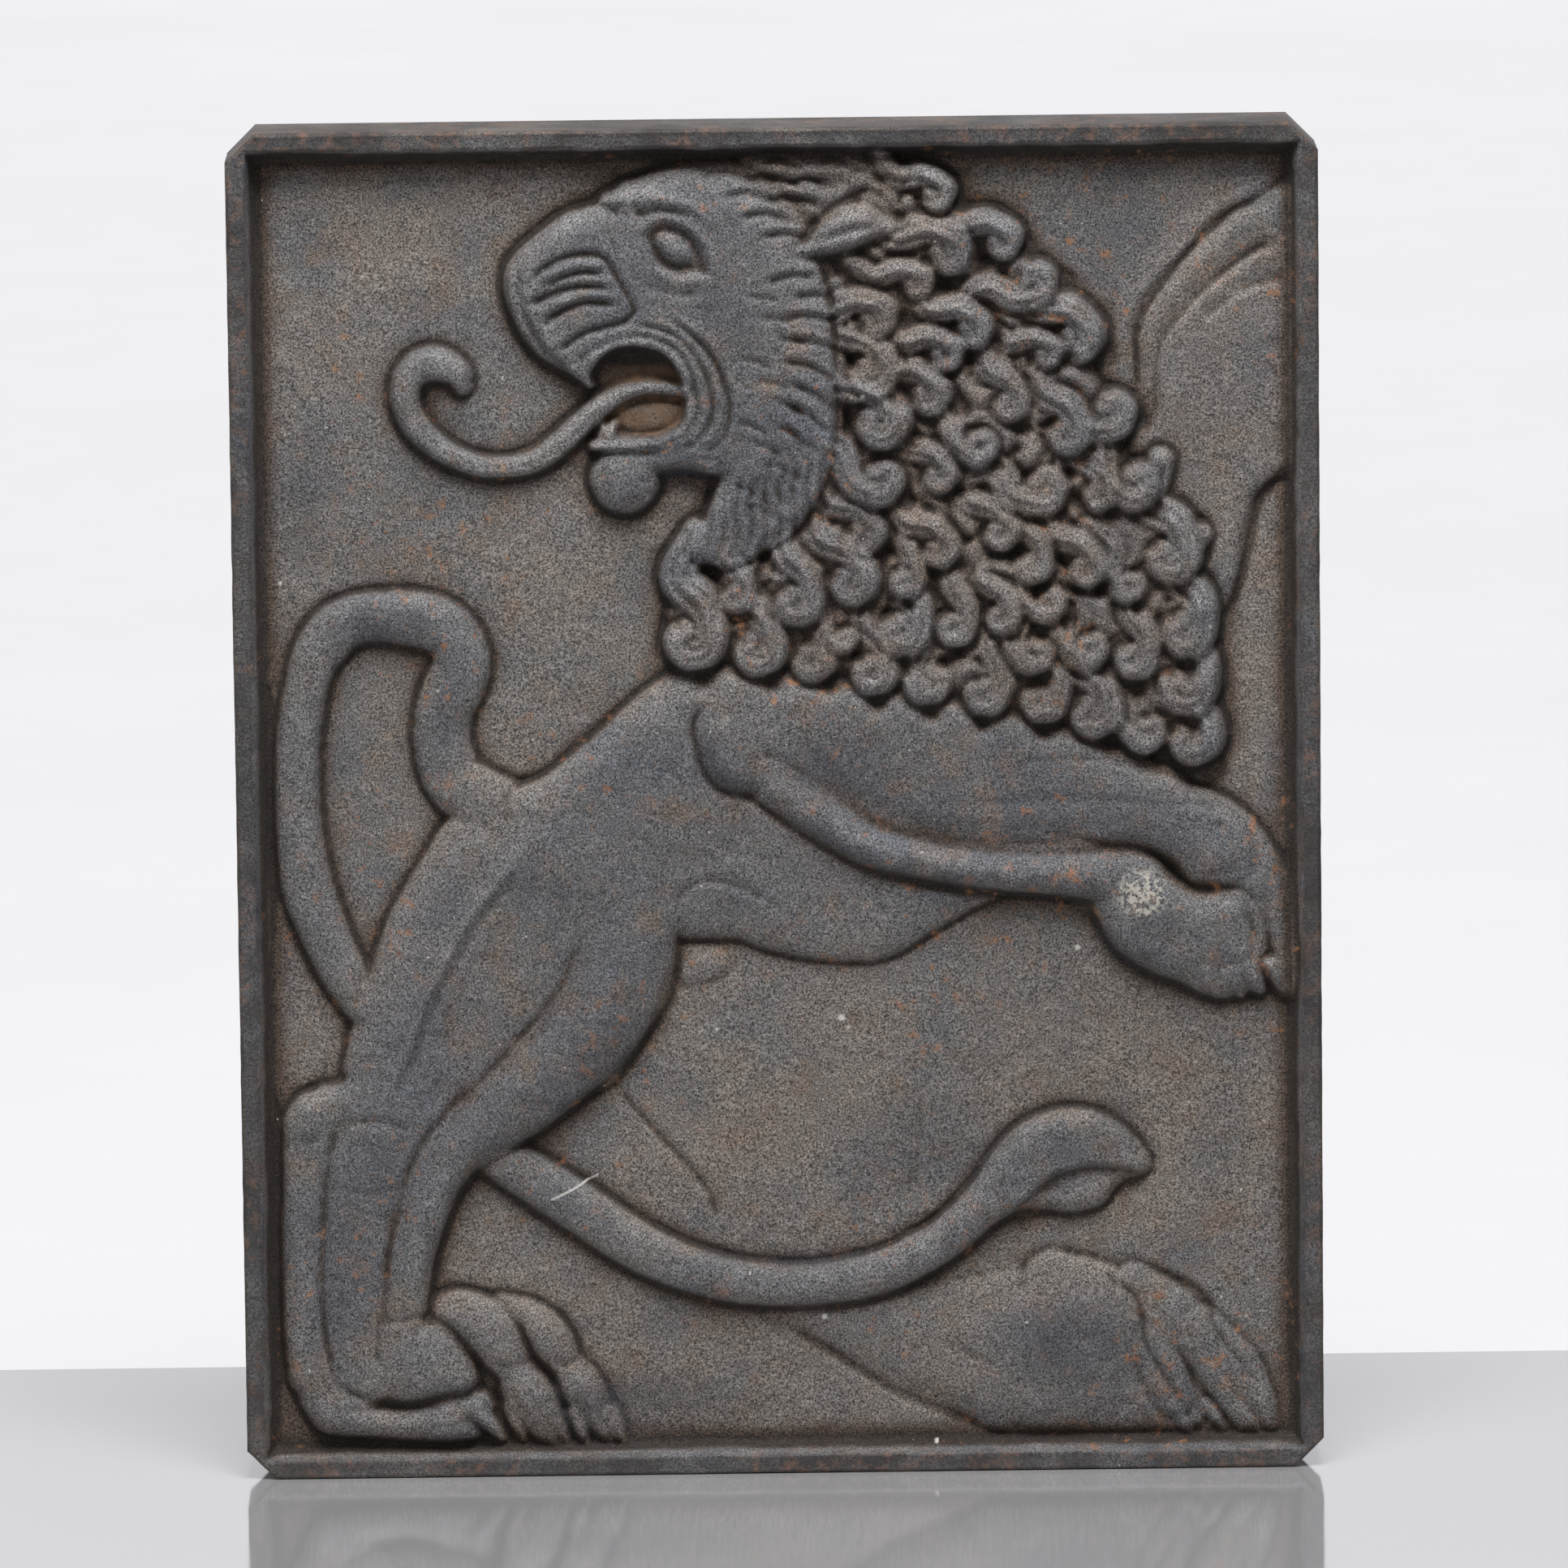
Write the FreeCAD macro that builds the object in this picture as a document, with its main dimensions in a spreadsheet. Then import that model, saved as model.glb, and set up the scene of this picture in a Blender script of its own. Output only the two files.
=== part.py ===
import FreeCAD, Part
import math
import os
import Sketcher
from FreeCAD import Vector

# Cast iron relief plaque: a rimmed plate with a rampant lion on its front, hollow at the back,
# where a bent wire ring hangs in the rolled eye of a strap that two screws hold to a cast pad.
# X runs to the right across the front, Y from the front to the back and Z up from the foot.

doc = FreeCAD.newDocument("relief_plaque")

# Driving dimensions in millimetres.
SIZES = [
    ("plaque_width", 320, "across the rim"),
    ("plaque_height", 402, "foot to top"),
    ("plaque_depth", 26, "front of the rim to its back"),
    ("corner_cut", 8.5, "leg of each cut corner"),
    ("lip_width", 5.5, "flat front of the rim"),
    ("recess_depth", 8, "front of the rim down to the ground"),
    ("recess_slope", 3.5, "run of the rim's sloping inner wall"),
    ("plate_thickness", 7, "ground to the plate's back"),
    ("skirt_wall", 7, "rim's wall around the hollow back"),
    ("edge_round", 1.2, "rounded front edge of the rim"),
    ("relief_rise", 10, "ground to the highest lock of the mane"),
    ("relief_bed", 2, "how deep each form of the relief roots in the plate"),
    ("hanger_drop", 58, "top of the plaque down to the ring's axis"),
    ("pad_rise", 2.5, "cast pad under the strap"),
    ("pad_margin", 4, "pad beyond the strap on each side"),
    ("strap_width", 14, "width of the strap and its eye"),
    ("strap_thickness", 1.5, "sheet of the strap"),
    ("screw_first_drop", 9.5, "ring's axis down to the upper screw"),
    ("screw_spacing", 10, "upper screw to lower screw"),
    ("strap_tail", 6.5, "lower screw down to the strap's end"),
    ("screw_size", 5, "thread diameter"),
    ("screw_grip", 6.5, "thread held in the pad and plate"),
    ("tap_runout", 1, "tapped hole beyond the screw's end"),
    ("tap_clearance", 0.05, "radial play of the thread in the tapped hole"),
    ("screw_clearance", 0.3, "radial play of the screw in the strap"),
    ("head_diameter", 8.5, "screw head"),
    ("head_height", 2.6, "screw head"),
    ("wire_size", 4, "diameter of the ring's wire"),
    ("eye_clearance", 0.1, "radial play of the wire in the eye"),
    ("ring_width", 32, "between the centres of the ring's upper bends"),
    ("ring_drop", 40, "ring's axis down to the centre of its lower bend"),
    ("ring_bend", 4, "bend of the wire at each corner"),
]

# Levels along Y and sizes that follow from the driving ones.
LEVELS = [
    ("relief_front", "=-(plaque_depth + relief_rise - recess_depth) / 2"),
    ("lip_level", "=relief_front + relief_rise - recess_depth"),
    ("ground_level", "=lip_level + recess_depth"),
    ("plate_back", "=ground_level + plate_thickness"),
    ("back_level", "=lip_level + plaque_depth"),
    ("pad_level", "=plate_back + pad_rise"),
    ("eye_inside", "=wire_size / 2 + eye_clearance"),
    ("eye_outside", "=eye_inside + strap_thickness"),
    ("ring_level", "=pad_level + eye_outside"),
    ("ring_axis", "=plaque_height - hanger_drop"),
    ("strap_level", "=pad_level + strap_thickness"),
    ("strap_length", "=screw_first_drop + screw_spacing + strap_tail"),
]

sheet = doc.addObject("Spreadsheet::Sheet", "sizes")
for row, (alias, value, note) in enumerate(SIZES, start=1):
    sheet.set(f"A{row}", str(value))
    sheet.setAlias(f"A{row}", alias)
    sheet.set(f"B{row}", note)
doc.recompute()
for row, (alias, formula) in enumerate(LEVELS, start=1):
    sheet.set(f"C{row}", formula)
    sheet.setAlias(f"C{row}", alias)
doc.recompute()


def size(alias):
    return float(sheet.get(alias))


# The relief is drawn on a grid of squares, each a share of the plaque's width or height.
# Places are (across, up), stations (across, up, half width, rise) and rises shares of relief_rise.
ACROSS_SHARE = 1 / 320
UP_SHARE = 1 / 402


def on_grid(across, up, rise=0.0):
    """Point on the front of the plaque, the rise being a share of the relief's."""
    x = (across * ACROSS_SHARE - 0.5) * size("plaque_width")
    z = up * UP_SHARE * size("plaque_height")
    return Vector(x, size("ground_level") - rise * size("relief_rise"), z)


def limb_rise(stations, across, up):
    """Rise of a rounded limb that runs through its stations."""
    best = 0.0
    for (a, b, half_a, rise_a), (c, d, half_c, rise_c) in zip(stations, stations[1:]):
        run, climb = c - a, d - b
        along = ((across - a) * run + (up - b) * climb) / (run * run + climb * climb)
        along = min(max(along, 0.0), 1.0)
        half = half_a + along * (half_c - half_a)
        away = math.hypot(across - a - along * run, up - b - along * climb)
        if away < half:
            rise = rise_a + along * (rise_c - rise_a)
            best = max(best, rise * math.sqrt(1 - (away / half) ** 2))
    return best


def mass_rise(outline, shoulder, rise, across, up):
    """Rise of a mass inside an outline, rounded over a shoulder along its edge."""
    inside = False
    nearest = shoulder
    for (a, b), (c, d) in zip(outline, outline[1:] + outline[:1]):
        if (b > up) != (d > up) and across < a + (up - b) * (c - a) / (d - b):
            inside = not inside
        run, climb = c - a, d - b
        along = ((across - a) * run + (up - b) * climb) / (run * run + climb * climb)
        along = min(max(along, 0.0), 1.0)
        nearest = min(nearest, math.hypot(across - a - along * run, up - b - along * climb))
    if not inside:
        return 0.0
    return rise * math.sqrt(1 - (1 - nearest / shoulder) ** 2)


def knob_rise(knob, field, across, up):
    """Rise of a round knob on the mane's field."""
    middle_across, middle_up, radius = knob
    away = math.hypot(across - middle_across, up - middle_up)
    if away >= radius:
        return 0.0
    return field + (1 - field) * math.sqrt(1 - (away / radius) ** 2)


# Low forms behind the lion: the raised far foreleg, cut off by the rim, and the far hind foot.
RAISED_LEG_SHARES = [
    (316, 379), (300, 377), (290, 370), (278, 357), (268, 342), (266, 325), (262, 300), (272, 275),
    (288, 255), (295, 262), (298, 278), (301, 291), (308, 297), (316, 301),
]
FAR_FOOT_SHARES = [
    (156, 49), (168, 39), (184, 29), (204, 20), (217, 12), (250, 10), (285, 10), (299, 18), (292, 34),
    (276, 48), (254, 59), (228, 60), (204, 56), (180, 56),
]

# Trunk and hind leg.
TRUNK_SHARES = [
    (80, 201), (92, 210), (106, 222), (124, 236), (150, 242), (190, 238), (240, 226), (272, 214),
    (282, 202), (262, 186), (228, 172), (206, 161), (186, 153), (164, 154), (144, 160), (118, 156),
    (92, 166), (78, 184),
]
THIGH_SHARES = [
    (62, 197), (50, 179), (41, 162), (34, 140), (32, 124), (42, 106), (60, 95), (80, 103), (108, 116),
    (122, 133), (129, 150), (130, 170), (122, 190), (104, 202), (82, 206),
]
SHANK_SHARES = [
    (62, 120, 26, 0.72), (45, 103, 25, 0.7), (36, 84, 24, 0.64), (33, 66, 22, 0.62), (31, 50, 20, 0.6),
    (31, 36, 16, 0.5),
]
FOOT_SHARES = [
    (40, 46), (54, 48), (64, 42), (70, 29), (75, 17), (76, 9), (60, 8), (40, 9), (25, 11), (16, 21),
    (12, 36), (20, 46),
]
FAR_TOES_SHARES = [
    [(60, 46, 9, 0.3), (73, 44, 11, 0.36), (82, 34, 10, 0.36), (89, 20, 8, 0.32), (94, 10, 5, 0.2)],
    [(78, 44, 8, 0.24), (90, 38, 9, 0.28), (97, 28, 8, 0.28), (103, 18, 7, 0.26), (108, 10, 4, 0.16)],
]

# Forelegs, which run out to the right and under the rim.
FAR_ARM_SHARES = [
    (232, 203, 13, 0.5), (258, 199, 13, 0.55), (280, 190, 13, 0.6), (294, 178, 13, 0.56),
    (304, 164, 12, 0.5), (314, 152, 9, 0.4),
]
NEAR_ARM_SHARES = [
    (148, 226, 11, 0.66), (160, 212, 16, 0.8), (180, 198, 15, 0.86), (203, 186, 10, 0.85),
    (225, 181, 8, 0.82), (243, 180, 8, 0.82), (258, 173, 12, 0.84), (272, 165, 16, 0.86),
    (288, 158, 15, 0.8), (302, 154, 12, 0.66), (315, 152, 9, 0.5),
]

# Tail: the loop above the haunch, and the run that comes forward between the legs.
TAIL_LOOP_SHARES = [
    (72, 198, 9, 0.46), (62, 213, 9, 0.46), (61, 225, 9, 0.46), (66, 238, 9, 0.46), (65, 250, 9, 0.46),
    (54, 257, 8, 0.46), (40, 257, 8, 0.46), (29, 252, 8, 0.46), (22, 240, 7, 0.46), (19, 226, 7, 0.46),
    (18, 207, 7, 0.46), (19, 188, 7, 0.46), (24, 168, 7, 0.46), (31, 152, 8, 0.46), (42, 140, 8, 0.42),
]
TAIL_RUN_SHARES = [
    (62, 106, 7, 0.5), (80, 93, 8, 0.5), (99, 80, 8, 0.52), (120, 65, 8, 0.55), (143, 57, 7, 0.56),
    (167, 56, 7, 0.56), (190, 60, 7, 0.56), (207, 69, 9, 0.56), (221, 81, 11, 0.55), (234, 91, 14, 0.5),
    (247, 94, 13, 0.46), (258, 92, 9, 0.4), (268, 89, 2, 0.16),
]

# Head: muzzle, cheek and ruff, brow, lips around the open mouth, tongue, chin, eye and ear.
MUZZLE_SHARES = [
    (146, 356, 31, 0.72), (124, 360, 25, 0.8), (106, 356, 22, 0.84), (94, 351, 17, 0.76),
    (86, 350, 11, 0.56), (82, 352, 5, 0.3),
]
CHEEK_SHARES = [
    (142, 298), (138, 284), (137, 274), (149, 271), (162, 277), (173, 288), (179, 302), (181, 325),
    (180, 348), (174, 368), (160, 382), (140, 389), (122, 386), (116, 374), (126, 354), (140, 340),
    (147, 322), (145, 308),
]
LIP_SHARES = [
    (96, 331, 4, 0.62), (103, 337, 4, 0.78), (112, 341, 4, 0.82), (122, 342, 4, 0.82), (132, 338, 4, 0.82),
    (139, 330, 4, 0.82), (142, 320, 4, 0.82), (138, 310, 4, 0.8), (128, 306, 4, 0.74), (116, 307, 4, 0.7),
    (108, 307, 3, 0.6),
]
TONGUE_SHARES = [
    (134, 324, 3, 0.4), (120, 324, 3, 0.44), (110, 320, 4, 0.46), (102, 313, 4, 0.46), (94, 306, 4, 0.46),
    (85, 302, 4, 0.46), (75, 302, 4, 0.46), (65, 305, 4, 0.46), (57, 311, 5, 0.46), (53, 319, 5, 0.46),
    (53, 327, 5, 0.46), (58, 332, 5, 0.44), (65, 331, 4, 0.4), (70, 327, 3, 0.3),
]
BROW_SHARES = [
    (110, 380, 3, 0.7), (118, 378, 4, 0.86), (128, 377, 4, 0.92), (138, 374, 4, 0.9), (145, 368, 3, 0.76),
]
EAR_SHARES = [(158, 364, 3, 0.76), (170, 368, 5, 0.9), (184, 370, 5, 0.9), (196, 374, 3, 0.7)]
CHIN_SHARES = [(115, 300, 10, 0.74), (117, 298, 10, 0.74)]
EYE_SHARES = [(131, 366, 7, 0.94), (133, 366, 7, 0.94)]

# Mane: the field that carries the locks, and the knobs in which the locks end.
MANE_SHARES = [
    (152, 393), (176, 394), (196, 393), (206, 384), (222, 373), (234, 359), (246, 342), (258, 324),
    (264, 304), (273, 288), (279, 270), (285, 250), (287, 232), (284, 216), (268, 220), (250, 223),
    (235, 227), (220, 231), (204, 234), (187, 237), (170, 240), (152, 242), (134, 244), (126, 250),
    (128, 262), (150, 270), (170, 283), (180, 302), (182, 330), (178, 360), (166, 378),
]
MANE_RISE_SHARE = 0.66
# Knobs as (across, up, radius).
KNOB_SHARES = [
    (208, 381, 5), (227, 367, 6), (211, 364, 6), (237, 355, 6), (218, 341, 5), (190, 345, 6), (202, 355, 5),
    (210, 334, 5), (240, 334, 5), (249, 338, 7), (189, 329, 6), (205, 322, 6), (229, 319, 5), (191, 314, 7),
    (220, 307, 5), (246, 310, 6), (259, 316, 7), (191, 297, 6), (208, 298, 5), (239, 294, 6), (255, 292, 5),
    (266, 295, 7), (226, 281, 5), (186, 281, 6), (208, 276, 6), (235, 271, 5), (251, 270, 6), (264, 265, 5),
    (276, 273, 7), (182, 267, 7), (198, 267, 5), (166, 261, 6), (148, 263, 5), (197, 252, 6), (212, 253, 5),
    (226, 256, 5), (240, 260, 5), (236, 245, 6), (252, 246, 6), (265, 243, 6), (280, 251, 8), (135, 250, 8),
    (154, 247, 7), (170, 244, 6), (180, 250, 4), (188, 240, 6), (205, 237, 6), (221, 233, 6), (238, 231, 7),
    (253, 227, 7), (269, 221, 5), (282, 219, 8), (280, 234, 8),
]

LIMB_SHARES = [
    SHANK_SHARES, FAR_ARM_SHARES, NEAR_ARM_SHARES, TAIL_LOOP_SHARES, TAIL_RUN_SHARES, MUZZLE_SHARES,
    LIP_SHARES, TONGUE_SHARES, BROW_SHARES, EAR_SHARES, CHIN_SHARES, EYE_SHARES, *FAR_TOES_SHARES,
]
# Masses with the shoulder that rounds their edge and their rise.
MASS_SHARES = [
    (RAISED_LEG_SHARES, 4, 0.12), (FAR_FOOT_SHARES, 8, 0.12), (TRUNK_SHARES, 16, 0.58),
    (THIGH_SHARES, 24, 0.76), (FOOT_SHARES, 14, 0.64), (CHEEK_SHARES, 12, 0.8),
    (MANE_SHARES, 5, MANE_RISE_SHARE),
]


def reach_of(places, margin):
    """Box of squares around some places."""
    return (min(place[0] for place in places) - margin, max(place[0] for place in places) + margin,
            min(place[1] for place in places) - margin, max(place[1] for place in places) + margin)


def holds(box, across, up):
    return box[0] <= across <= box[1] and box[2] <= up <= box[3]


LIMB_BOXES = [reach_of(limb, max(station[2] for station in limb)) for limb in LIMB_SHARES]
MASS_BOXES = [reach_of(outline, 0) for outline, shoulder, rise in MASS_SHARES]


def relief_rise_at(across, up):
    """Rise of the relief over one place of the grid, as a share of its greatest."""
    best = 0.0
    for limb, box in zip(LIMB_SHARES, LIMB_BOXES):
        if holds(box, across, up):
            best = max(best, limb_rise(limb, across, up))
    for (outline, shoulder, rise), box in zip(MASS_SHARES, MASS_BOXES):
        if holds(box, across, up):
            best = max(best, mass_rise(outline, shoulder, rise, across, up))
    for knob in KNOB_SHARES:
        best = max(best, knob_rise(knob, MANE_RISE_SHARE, across, up))
    return best


# The skin of the relief is one smooth surface over the sunk field, carried on under the rim.
SKIN_EDGE_SHARE = 6
SKIN_STEP_SHARE = 11
SKIN_DEGREE = 2
# Depth of the skin's floor below the ground, as a share of the relief's bed.
SKIN_ROOT_SHARE = 1.5


def spans(whole):
    """Number of even spans of the skin across a whole side of the grid."""
    return round((whole - 2 * SKIN_EDGE_SHARE) / SKIN_STEP_SHARE)


def pole_places(whole):
    """Grid places of the skin's poles, so that it runs evenly from edge to edge."""
    count = spans(whole)
    knots = [0] * SKIN_DEGREE + list(range(count + 1)) + [count] * SKIN_DEGREE
    stretch = (whole - 2 * SKIN_EDGE_SHARE) / count
    places = []
    for index in range(count + SKIN_DEGREE):
        mean = sum(knots[index + 1:index + 1 + SKIN_DEGREE]) / SKIN_DEGREE
        places.append(SKIN_EDGE_SHARE + mean * stretch)
    return places


def knot_counts(whole):
    """How often each knot of the skin counts: ends clamped, the rest once."""
    return [SKIN_DEGREE + 1] + [1] * (spans(whole) - 1) + [SKIN_DEGREE + 1]


grid_wide = 1 / ACROSS_SHARE
grid_high = 1 / UP_SHARE
poles = []
for across in pole_places(grid_wide):
    poles.append([on_grid(across, up, relief_rise_at(across, up)) for up in pole_places(grid_high)])
skin = Part.BSplineSurface()
skin.buildFromPolesMultsKnots(
    poles, knot_counts(grid_wide), knot_counts(grid_high),
    list(range(spans(grid_wide) + 1)), list(range(spans(grid_high) + 1)),
    False, False, SKIN_DEGREE, SKIN_DEGREE)


def skin_solid(surface, floor_level):
    """Solid between the skin and a flat floor behind it."""
    top = surface.toShape()
    faces = [top]
    corners = []
    for edge in top.Edges:
        first, last = [vertex.Point for vertex in edge.Vertexes]
        foot = Part.makeLine(Vector(first.x, floor_level, first.z), Vector(last.x, floor_level, last.z))
        faces.append(Part.makeRuledSurface(edge, foot))
        corners.append(foot)
    faces.append(Part.Face(Part.Wire(Part.__sortEdges__(corners))))
    shell = Part.makeShell(faces)
    shell.sewShape()
    return Part.makeSolid(shell)


relief = doc.addObject("Part::Feature", "relief")
relief.Shape = skin_solid(skin, size("ground_level") + SKIN_ROOT_SHARE * size("relief_bed"))


def plane_of(body, role):
    for feature in body.Origin.OriginFeatures:
        if feature.Role == role:
            return feature


def front_sketch(body, name, level):
    """Sketch seen from the front, X right and Z up, at a level along Y."""
    sketch = body.newObject("Sketcher::SketchObject", name)
    sketch.AttachmentSupport = [(plane_of(body, "XZ_Plane"), "")]
    sketch.MapMode = "FlatFace"
    sketch.setExpression("AttachmentOffset.Base.z", f"-({level})")
    return sketch


def bind(sketch, constraint, expression):
    """Adds a distance that follows an expression."""
    index = sketch.addConstraint(constraint)
    sketch.setExpression(f"Constraints[{index}]", expression)


def cut_rectangle(body, name, level, inset):
    """Plaque outline with its cut corners, drawn in by an inset on every side."""
    sketch = front_sketch(body, name, level)
    half = size("plaque_width") / 2
    high = size("plaque_height")
    cut = size("corner_cut") / 2
    low = cut / 4
    corners = [
        (cut - half, low), (half - cut, low), (half - low, cut), (half - low, high - cut),
        (half - cut, high - low), (cut - half, high - low), (low - half, high - cut), (low - half, cut),
    ]
    for index, (x, y) in enumerate(corners):
        x_next, y_next = corners[(index + 1) % len(corners)]
        sketch.addGeometry(Part.LineSegment(Vector(x, y, 0), Vector(x_next, y_next, 0)), False)
    for index in range(len(corners)):
        sketch.addConstraint(Sketcher.Constraint("Coincident", index, 2, (index + 1) % len(corners), 1))
    for left, left_end, right, right_end in [(0, 1, 0, 2), (4, 2, 4, 1), (6, 2, 2, 1), (6, 1, 2, 2)]:
        sketch.addConstraint(Sketcher.Constraint("Symmetric", left, left_end, right, right_end, -2))
    sketch.addConstraint(Sketcher.Constraint("Vertical", 2))
    width = f"sizes.plaque_width - 2 * ({inset})"
    bind(sketch, Sketcher.Constraint("DistanceX", 6, 2, 2, 1, 2 * half), width)
    bind(sketch, Sketcher.Constraint("DistanceY", -1, 1, 4, 1, high), f"sizes.plaque_height - ({inset})")
    if inset == "0":
        sketch.addConstraint(Sketcher.Constraint("PointOnObject", 0, 1, -1))
    else:
        bind(sketch, Sketcher.Constraint("DistanceY", -1, 1, 0, 1, low), inset)
    leg = f"sizes.corner_cut - ({inset}) * (2 - sqrt(2))"
    bind(sketch, Sketcher.Constraint("DistanceX", 0, 2, 2, 1, cut), leg)
    bind(sketch, Sketcher.Constraint("DistanceY", 0, 2, 2, 1, cut), leg)
    bind(sketch, Sketcher.Constraint("DistanceX", 4, 1, 2, 2, cut), leg)
    bind(sketch, Sketcher.Constraint("DistanceY", 2, 2, 4, 1, cut), leg)
    return sketch


# Rimmed plate, hollow at the back, with the pad that carries the hanger.
blank = doc.addObject("PartDesign::Body", "plaque_blank")
outline = cut_rectangle(blank, "outline", "sizes.back_level", "0")
slab = blank.newObject("PartDesign::Pad", "slab")
slab.Profile = outline
slab.setExpression("Length", "sizes.plaque_depth")
doc.recompute()

front_edges = []
for number, edge in enumerate(slab.Shape.Edges, start=1):
    if all(abs(vertex.Y - size("lip_level")) < size("edge_round") for vertex in edge.Vertexes):
        front_edges.append(f"Edge{number}")
rounding = blank.newObject("PartDesign::Fillet", "lip_rounding")
rounding.Base = (slab, front_edges)
rounding.setExpression("Radius", "sizes.edge_round")
doc.recompute()

mouth = cut_rectangle(blank, "recess_mouth", "sizes.lip_level", "sizes.lip_width")
floor = cut_rectangle(
    blank, "recess_floor", "sizes.ground_level + sizes.relief_bed",
    "sizes.lip_width + sizes.recess_slope * (1 + sizes.relief_bed / sizes.recess_depth)")
recess = blank.newObject("PartDesign::SubtractiveLoft", "recess")
recess.Profile = mouth
recess.Sections = [floor]
recess.Ruled = True
doc.recompute()

skirt = cut_rectangle(blank, "hollow_outline", "sizes.back_level", "sizes.skirt_wall")
hollow = blank.newObject("PartDesign::Pocket", "hollow_back")
hollow.Profile = skirt
hollow.Reversed = True
hollow.setExpression("Length", "sizes.back_level - sizes.plate_back")
doc.recompute()


def centred_rectangle(body, name, level, width, low, high):
    """Rectangle about the middle of the plaque, between two heights."""
    sketch = front_sketch(body, name, level)
    half = size("strap_width") / 2
    bottom = size("ring_axis") - size("strap_length")
    top = size("ring_axis")
    corners = [(-half, bottom), (half, bottom), (half, top), (-half, top)]
    for index, (x, y) in enumerate(corners):
        x_next, y_next = corners[(index + 1) % len(corners)]
        sketch.addGeometry(Part.LineSegment(Vector(x, y, 0), Vector(x_next, y_next, 0)), False)
    for index in range(len(corners)):
        sketch.addConstraint(Sketcher.Constraint("Coincident", index, 2, (index + 1) % len(corners), 1))
    sketch.addConstraint(Sketcher.Constraint("Symmetric", 0, 1, 0, 2, -2))
    sketch.addConstraint(Sketcher.Constraint("Horizontal", 2))
    sketch.addConstraint(Sketcher.Constraint("Vertical", 1))
    sketch.addConstraint(Sketcher.Constraint("Vertical", 3))
    bind(sketch, Sketcher.Constraint("DistanceX", 0, 1, 0, 2, 2 * half), width)
    bind(sketch, Sketcher.Constraint("DistanceY", -1, 1, 0, 1, bottom), low)
    bind(sketch, Sketcher.Constraint("DistanceY", -1, 1, 2, 1, top), high)
    return sketch


SCREW_DROPS = ["sizes.screw_first_drop", "sizes.screw_first_drop + sizes.screw_spacing"]


def screw_circles(body, name, level, radius):
    """One circle at each screw's place."""
    sketch = front_sketch(body, name, level)
    for index, drop in enumerate(SCREW_DROPS):
        place = Vector(0, size("ring_axis") - size("screw_first_drop") - index * size("screw_spacing"), 0)
        circle = sketch.addGeometry(Part.Circle(place, Vector(0, 0, 1), size("screw_size") / 2), False)
        sketch.addConstraint(Sketcher.Constraint("PointOnObject", circle, 3, -2))
        bind(sketch, Sketcher.Constraint("Radius", circle, size("screw_size") / 2), radius)
        height = f"sizes.ring_axis - ({drop})"
        bind(sketch, Sketcher.Constraint("DistanceY", -1, 1, circle, 3, place.y), height)
    return sketch


pad_outline = centred_rectangle(
    blank, "pad_outline", "sizes.plate_back", "sizes.strap_width + 2 * sizes.pad_margin",
    "sizes.ring_axis - sizes.strap_length - sizes.pad_margin",
    "sizes.ring_axis + sizes.eye_outside + sizes.pad_margin")
pad = blank.newObject("PartDesign::Pad", "hanger_pad")
pad.Profile = pad_outline
pad.Reversed = True
pad.setExpression("Length", "sizes.pad_rise")
doc.recompute()

tapped = screw_circles(
    blank, "tapped_places", "sizes.pad_level", "sizes.screw_size / 2 + sizes.tap_clearance")
taps = blank.newObject("PartDesign::Pocket", "tapped_holes")
taps.Profile = tapped
taps.Reversed = True
taps.setExpression("Length", "sizes.screw_grip + sizes.tap_runout")
doc.recompute()

# The casting: plate and relief poured as one.
casting = doc.addObject("Part::MultiFuse", "plaque_casting")
casting.Shapes = [blank, relief]
doc.recompute()

# Strap with its rolled eye.
saddle = doc.addObject("PartDesign::Body", "hanger_saddle")
strap_outline = centred_rectangle(
    saddle, "strap_outline", "sizes.pad_level", "sizes.strap_width",
    "sizes.ring_axis - sizes.strap_length", "sizes.ring_axis - sizes.eye_inside / 2")
strap = saddle.newObject("PartDesign::Pad", "strap")
strap.Profile = strap_outline
strap.Reversed = True
strap.setExpression("Length", "sizes.strap_thickness")
doc.recompute()


def side_circle(body, name, radii):
    """Circles about the ring's axis, seen from the right, Y across and Z up."""
    sketch = body.newObject("Sketcher::SketchObject", name)
    sketch.AttachmentSupport = [(plane_of(body, "YZ_Plane"), "")]
    sketch.MapMode = "FlatFace"
    place = Vector(size("ring_level"), size("ring_axis"), 0)
    for radius in radii:
        circle = sketch.addGeometry(Part.Circle(place, Vector(0, 0, 1), size("wire_size") / 2), False)
        bind(sketch, Sketcher.Constraint("Radius", circle, size("wire_size") / 2), radius)
        bind(sketch, Sketcher.Constraint("DistanceX", -1, 1, circle, 3, place.x), "sizes.ring_level")
        bind(sketch, Sketcher.Constraint("DistanceY", -1, 1, circle, 3, place.y), "sizes.ring_axis")
    return sketch


eye_outline = side_circle(saddle, "eye_outline", ["sizes.eye_outside", "sizes.eye_inside"])
eye = saddle.newObject("PartDesign::Pad", "rolled_eye")
eye.Profile = eye_outline
eye.Midplane = True
eye.setExpression("Length", "sizes.strap_width")
doc.recompute()
holes = screw_circles(
    saddle, "hole_places", "sizes.strap_level", "sizes.screw_size / 2 + sizes.screw_clearance")
screw_holes = saddle.newObject("PartDesign::Pocket", "screw_holes")
screw_holes.Profile = holes
screw_holes.Reversed = True
screw_holes.setExpression("Length", "sizes.strap_thickness")
doc.recompute()

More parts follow.
